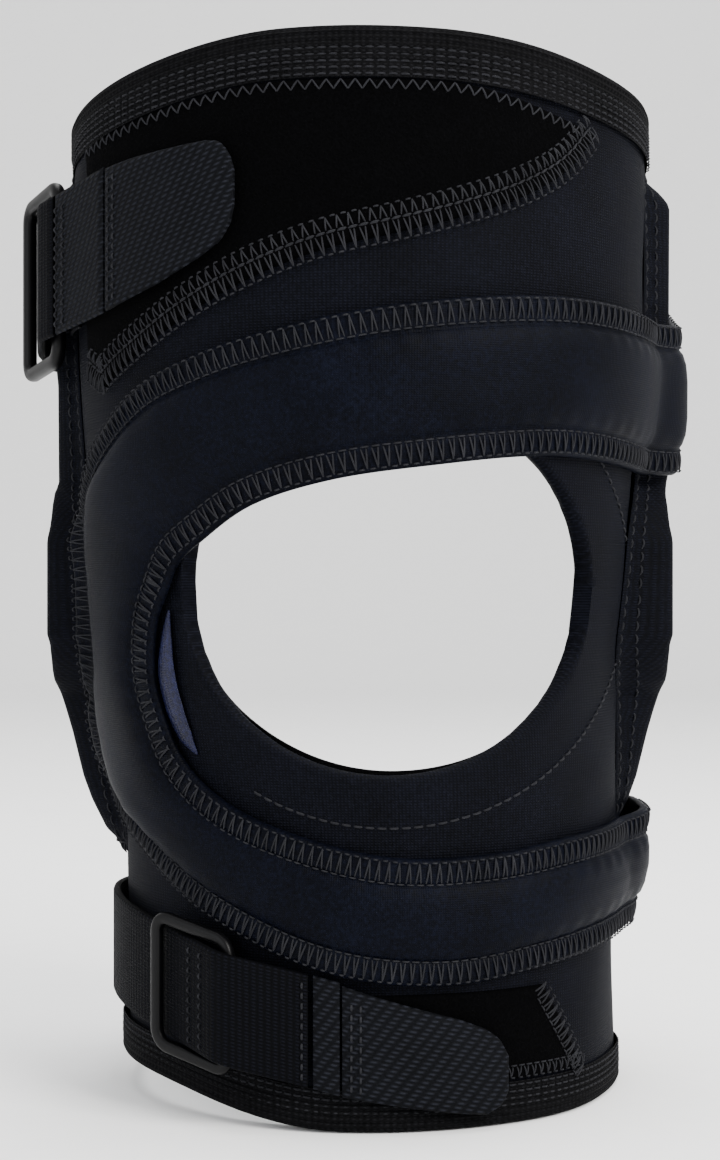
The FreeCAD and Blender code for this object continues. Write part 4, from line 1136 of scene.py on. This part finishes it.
# Outlines of the front tabs, as (x, z).
THIGH_TAB_LOW = ((-63.0, 188.6), (-59.0, 189.3), (-46.8, 193.5), (-36.5, 198.6), (-31.5, 202.0),
                 (-28.9, 206.2), (-28.1, 210.5))
THIGH_TAB_HIGH = ((-63.0, 222.4), (-52.7, 223.6), (-35.0, 225.0), (-31.6, 224.6), (-29.4, 222.0),
                  (-28.2, 218.0))
CALF_TAB_LOW = ((-9.0, 9.6), (20.0, 4.5), (26.0, 3.7), (29.0, 5.4), (30.6, 8.5))
CALF_TAB_HIGH = ((-9.0, 35.2), (20.0, 26.0), (25.5, 23.5), (28.6, 21.0), (30.8, 16.5))


def make_tab(label, radius, span, limits, hook_span, hook_limits, names, tacks, inset):
    """A tab of hook tape on its own body, with the hook patch underneath."""
    line = arc_line(radius + HOOK + TAB / 2, *span)
    tab = band(label + "_tape", line, limits, TAB, materials["tab"])
    hook_line = arc_line(radius + HOOK / 2, *hook_span)
    hook = band(label + "_hook_patch", hook_line, hook_limits, HOOK, materials["hook"], 0.3)
    for piece, node_name in zip((tab, hook), names):
        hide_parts(node_name)
    for piece in (tab, hook):
        dress(piece, label)
    seam_across(label + "_tacks", label, line, tacks, limits, TAB / 2 + 0.05, inset)


def front_tab(label, radius, span, lows, highs, names):
    """A tab of a strap, cut to an outline seen from the front."""
    limits = outline_limits(lows, highs)
    make_tab(label, radius, span, limits, (span[0] + 2.0, span[1] - 1.6), inset_limits(limits, 1.4),
             names, (0.06, 0.12), 1.6)


def back_tab(label, radius, span, low, high, names):
    """The tab that holds an end of the C-shaped pad behind the leg, with round corners."""
    corner = 6.0
    last = len(arc_line(radius + HOOK + TAB / 2, *span)) - 1

    def limits(at, i):
        cut = corner - math.sqrt(max(0.0, corner ** 2 - max(0.0, corner - (last - i)) ** 2))
        return (low(at) + cut, high(at) - cut)

    def hook_limits(at, i):
        return (low(at) + 2.5, high(at) - 2.5)

    make_tab(label, radius, span, limits, (span[0] + 2.0, span[1] - 2.0), hook_limits,
             names, (0.1, 0.2), 2.0)


front_tab("thigh_tab", THIGH_OUT + LOOP_TOP + HOOK_GAP, (217.5, 247.9), THIGH_TAB_LOW, THIGH_TAB_HIGH,
          ("thigh_tab", "thigh_hook"))
front_tab("calf_tab", CALF_OUT + LOOP_TOP + HOOK_GAP, (264.95, 298.8), CALF_TAB_LOW, CALF_TAB_HIGH,
          ("calf_tab", "calf_hook"))
back_tab("upper_band_tab", THIGH_OUT + HOOK_GAP, (49.5, 66.0),
         lambda at: 151.6 + 0.48 * at[1], lambda at: 189.4 + 0.371 * at[1],
         ("upper_band_tab", "upper_band_hook"))
back_tab("lower_band_tab", CALF_OUT + HOOK_GAP, (53.5, 70.0), lambda at: 35.0, lambda at: 67.2,
         ("lower_band_tab", "lower_band_hook"))


# ---------------------------------------------------------------- rings and their keepers

def rounded_loop(corners, radius):
    """Points round a closed outline whose corners are rounded."""
    count = len(corners)
    points = []
    for k, corner in enumerate(corners):
        following = corners[(k + 1) % count]
        before = corners[k - 1] - corner
        after = following - corner
        start = corner + before / np.linalg.norm(before) * radius
        end = corner + after / np.linalg.norm(after) * radius
        eased = corner + (start + end - 2 * corner) * 0.12
        for t in np.linspace(0, 1, 9):
            points.append(start * (1 - t) ** 2 + 2 * eased * t * (1 - t) + end * t ** 2)
        length = np.linalg.norm(after) - 2 * radius
        for t in np.linspace(0, 1, max(3, int(length / 1.5)))[1:-1]:
            points.append(end + after / np.linalg.norm(after) * length * t)
    return np.array(points)


def ring(name, node_name, pivot, far_bar, plane, window, radius):
    """A moulded slot ring: two uprights and two slanted bars, with round corners and a flat section."""
    reach = window / 2 + radius
    corners = []
    for at, ends in ((pivot, (-1, 1)), (far_bar, (1, -1))):
        height = plane_height(plane, at)
        corners += [np.array([at[0], at[1], height + end * reach]) for end in ends]
    points = rounded_loop(corners, 3.4)
    face = np.cross(corners[1] - corners[0], corners[3] - corners[0])
    face /= np.linalg.norm(face)
    path = []
    for i, point in enumerate(points):
        run = points[(i + 1) % len(points)] - points[i - 1]
        path.append((point, np.cross(run / np.linalg.norm(run), face), face))
    section = []
    for t in np.linspace(0, 2 * math.pi, 21)[:-1]:
        c, s = math.cos(t), math.sin(t)
        wide = math.copysign(abs(c) ** 0.8, c) * 0.98
        flat = math.copysign(abs(s) ** 0.8, s) * 0.9
        section.append((radius * wide, radius * flat))
    piece = tube(name, path, section, materials["ring"])
    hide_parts(node_name)
    dress(piece, node_name)


ring("thigh_slot_ring", "thigh_ring", THIGH_PIVOT, THIGH_BAR, THIGH_PLANE, 39.0, THIGH_RING)
ring("calf_slot_ring", "calf_ring", CALF_PIVOT, CALF_BAR, CALF_PLANE, 27.0, CALF_RING)


def keeper(label, body, node_name, pivot, plane, bar, height, foot):
    """A webbing loop round a ring's upright, with a foot sewn to the sleeve."""
    middle = plane_height(plane, pivot)
    reach = height / 2 - 0.3

    def limits(at, i):
        return (middle - reach, middle + reach)

    around = bar + 0.15 + 0.5
    facing = math.atan2(pivot[1], pivot[0]) + math.pi
    loop = np.array([(pivot[0] + around * math.cos(facing + t), pivot[1] + around * math.sin(facing + t))
                     for t in np.linspace(0.0, 2 * math.pi, 49)[:-1]])
    loop_piece = band(label + "_loop", loop, limits, 0.9, materials["webbing"], 0.4, leans=False)
    foot_line = arc_line(*foot)
    foot_piece = band(label + "_foot", foot_line, limits, 1.2, materials["webbing"], 0.5, leans=False)
    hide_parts(node_name)
    for piece in (loop_piece, foot_piece):
        dress(piece, body)
    seam_across(label + "_tacks", body, foot_line, (0.12, 0.88), limits, 0.65, 1.5)


keeper("thigh_keeper_web", "thigh", "thigh_keeper", THIGH_PIVOT, THIGH_PLANE, THIGH_RING, 30.0,
       (THIGH_OUT + 1.0, 185.5, 201.0))
keeper("calf_keeper_web", "calf", "calf_keeper", CALF_PIVOT, CALF_PLANE, CALF_RING, 20.0,
       (CALF_OUT + 0.8, 235.0, 249.0))


# ---------------------------------------------------------------- brushed loop panels

def over_plush(u, z):
    """Radius of the top of the brushed loop, where its border is sewn."""
    return sleeve_top(u, z) + 1.12


def loop_patch(label, body, node_name, low_line, high_line, seams):
    """A patch of brushed loop between two unrolled lines, with its border seams."""
    low_line = resample(low_line, 1.0)
    count = len(low_line)
    high_line = resample(high_line, 1.0)
    order = np.arange(len(high_line))
    places = np.linspace(0, order[-1], count)
    high_line = np.column_stack([np.interp(places, order, high_line[:, k]) for k in (0, 1)])
    spread = np.concatenate([[0.0, 0.01, 0.03, 0.06], np.linspace(0.1, 0.9, 20), [0.94, 0.97, 0.99, 1.0]])
    u, z = between(low_line, high_line, spread)
    tall = np.linalg.norm(high_line - low_line, axis=1)[:, None]
    distance = np.minimum(spread, 1 - spread)[None, :] * tall
    ends = np.minimum(np.arange(count), np.arange(count)[::-1])[:, None] + 0.1
    distance = np.minimum(distance, ends)
    bottom = sleeve_top(u, z) + 0.08
    piece = cloth(label, u, z, bottom + edge_round(distance, 0.7), bottom, materials["plush"])
    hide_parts(node_name)
    dress(piece, body)
    stitched = threads(label + "_seams", seams(low_line, high_line), 0.22, materials["thread"])
    dress(stitched, body)


# Lower edge of the thigh's loop panel, as (x, z).
PLUSH_LOW = ((-60.0, 172.5), (-50.0, 180.0), (-36.0, 188.5), (-22.0, 195.0), (-7.0, 200.0), (8.7, 203.5),
             (24.5, 208.0), (38.5, 214.0), (48.0, 221.0), (54.5, 229.5))


def zigzag(line, height, near, far, pitch):
    """A zigzag stitch between two lines beside an unrolled edge."""
    line = resample(line, pitch)
    normal = side_of(line)
    a, out = on_surface(line + normal * near, height)
    b, _ = on_surface(line + normal * far, height)
    made = []
    for i in range(len(line) - 1):
        first, second = (a[i], b[i + 1]) if i % 2 else (b[i], a[i + 1])
        made.append((first, second, out[i]))
    return made


front = [(u_of_x(x, z, sleeve_top), z) for x, z in PLUSH_LOW]
thigh_low = catmull([(to_u(205.0), 176.0), (to_u(212.0), 172.0)] + front, 1.0)
high_u = np.linspace(to_u(205.0), front[-1][0], 60)
thigh_high = np.column_stack([high_u, rim(high_u) - 12.2 - 3.0 * smooth((high_u - front[-1][0] + 40) / 40)])
loop_patch("thigh_brushed_panel", "thigh", "thigh_loop_panel", thigh_low, thigh_high,
           lambda low, high: (ladder(low, over_plush, -1.6, 2.7) + ladder(low, over_plush, 6.4, 3.6)
                              + zigzag(high, over_plush, -0.2, -2.4, 1.5)))
calf_low = np.array([(to_u(266.0), 10.5), (to_u(322.0), 10.5)])
calf_high = np.array([(to_u(266.0), 31.5), (to_u(302.0), 31.5), (to_u(309.5), 31.5)])
loop_patch("calf_brushed_panel", "calf", "calf_loop_panel", calf_low, calf_high,
           lambda low, high: (ladder(low, over_plush, 0.5, 2.8)
                              + ladder(np.array([low[-1], high[-1]]), over_plush, -1.0, 3.2)))


# ---------------------------------------------------------------- seams on the sleeve

def sleeve_seam(name, line, zone):
    """A line of dashed stitches on the sleeve."""
    stitched = threads(name, dashes(line, lambda u, z: sleeve_top(u, z) + 0.05, 1.9, 1.1), 0.28,
                       materials["thread"])
    dress(stitched, zone=zone)


sleeve_seam("window_seam_upper", window_line(12.0, 88.0, 1.0), UPPER)
sleeve_seam("window_seam_lower", window_line(12.0, -1.0, -122.0), LOWER)
for half_name, edge, zone, direction in (("upper", upper_edge, UPPER, 1.0),
                                         ("lower", lower_edge, LOWER, -1.0)):
    notch = edge[WINDOW_STEPS:]
    keep = np.abs(notch[:, 1] - SPLIT) > 5.0
    sleeve_seam("opening_seam_" + half_name, notch[keep] + np.array([0.0, direction * 3.0]), zone)


# ---------------------------------------------------------------- camera, light and floor

def make_camera():
    data = bpy.data.cameras.new("camera")
    data.sensor_fit = "VERTICAL"
    data.sensor_height = 36.0
    data.angle_y = math.radians(30.8)
    camera = bpy.data.objects.new("camera", data)
    camera.location = (0.0, -0.540, 0.1261)
    camera.rotation_euler = (math.radians(90.0), 0.0, 0.0)
    bpy.context.scene.collection.objects.link(camera)
    bpy.context.scene.camera = camera


def make_light(name, place_at, target, size, power, colour=(1.0, 1.0, 1.0)):
    data = bpy.data.lights.new(name, "AREA")
    data.shape = "RECTANGLE"
    data.size, data.size_y = size
    data.energy = power
    data.color = colour
    light = bpy.data.objects.new(name, data)
    light.location = place_at
    aim = Vector(target) - Vector(place_at)
    light.rotation_euler = aim.to_track_quat("-Z", "Y").to_euler()
    bpy.context.scene.collection.objects.link(light)


FLOOR = -0.05            # just under the hem, so that nothing shares its plane


def make_stage():
    """A pale floor below the brace that curves up far behind it."""
    curve = 900.0
    curve_starts = 1800.0
    reach = 4000.0
    profile = [(-3000.0, FLOOR)]
    for a in np.linspace(0.0, math.pi / 2, 24):
        profile.append((curve_starts + curve * math.sin(a), FLOOR + curve * (1 - math.cos(a))))
    profile.append((curve_starts + curve, reach))
    points = []
    for y, z in profile:
        points += [(-reach, y, z), (reach, y, z)]
    faces = [[2 * i, 2 * i + 1, 2 * i + 3, 2 * i + 2] for i in range(len(profile) - 1)]
    paper = finish_material("paper", grained((0.86, 0.86, 0.86), 0.02, 0.01, spread=1.02), (0.8, 0.9))
    floor = make_object("floor", points, faces, None, paper)
    world = bpy.data.worlds.new("studio")
    world.use_nodes = True
    background = world.node_tree.nodes["Background"]
    background.inputs["Color"].default_value = (1.0, 1.0, 1.0, 1.0)
    background.inputs["Strength"].default_value = 1.5
    bpy.context.scene.world = world


make_camera()
make_light("key", (0.9, -0.9, 0.9), (0.0, 0.0, 0.13), (0.7, 0.7), 40.0, (1.0, 0.98, 0.95))
make_light("fill", (-0.9, -0.8, 0.4), (0.0, 0.0, 0.12), (0.9, 0.9), 7.0, (0.92, 0.95, 1.0))
make_light("top", (0.1, 0.2, 1.2), (0.0, 0.0, 0.15), (0.9, 0.9), 20.0)
make_stage()

# ---------------------------------------------------------------- materials of the CAD parts

CAD_FINISH = {
    "arm": "aluminium", "cap": "rubber", "plate": "steel", "rivet": "steel", "stops": "steel",
    "hinge_pad": "foam",
}
for cad_name, cad_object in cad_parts.items():
    ending = next((k for k in CAD_FINISH if cad_name.endswith(k)), None)
    if ending:
        for material_slot in cad_object.material_slots:
            material_slot.material = materials[CAD_FINISH[ending]]
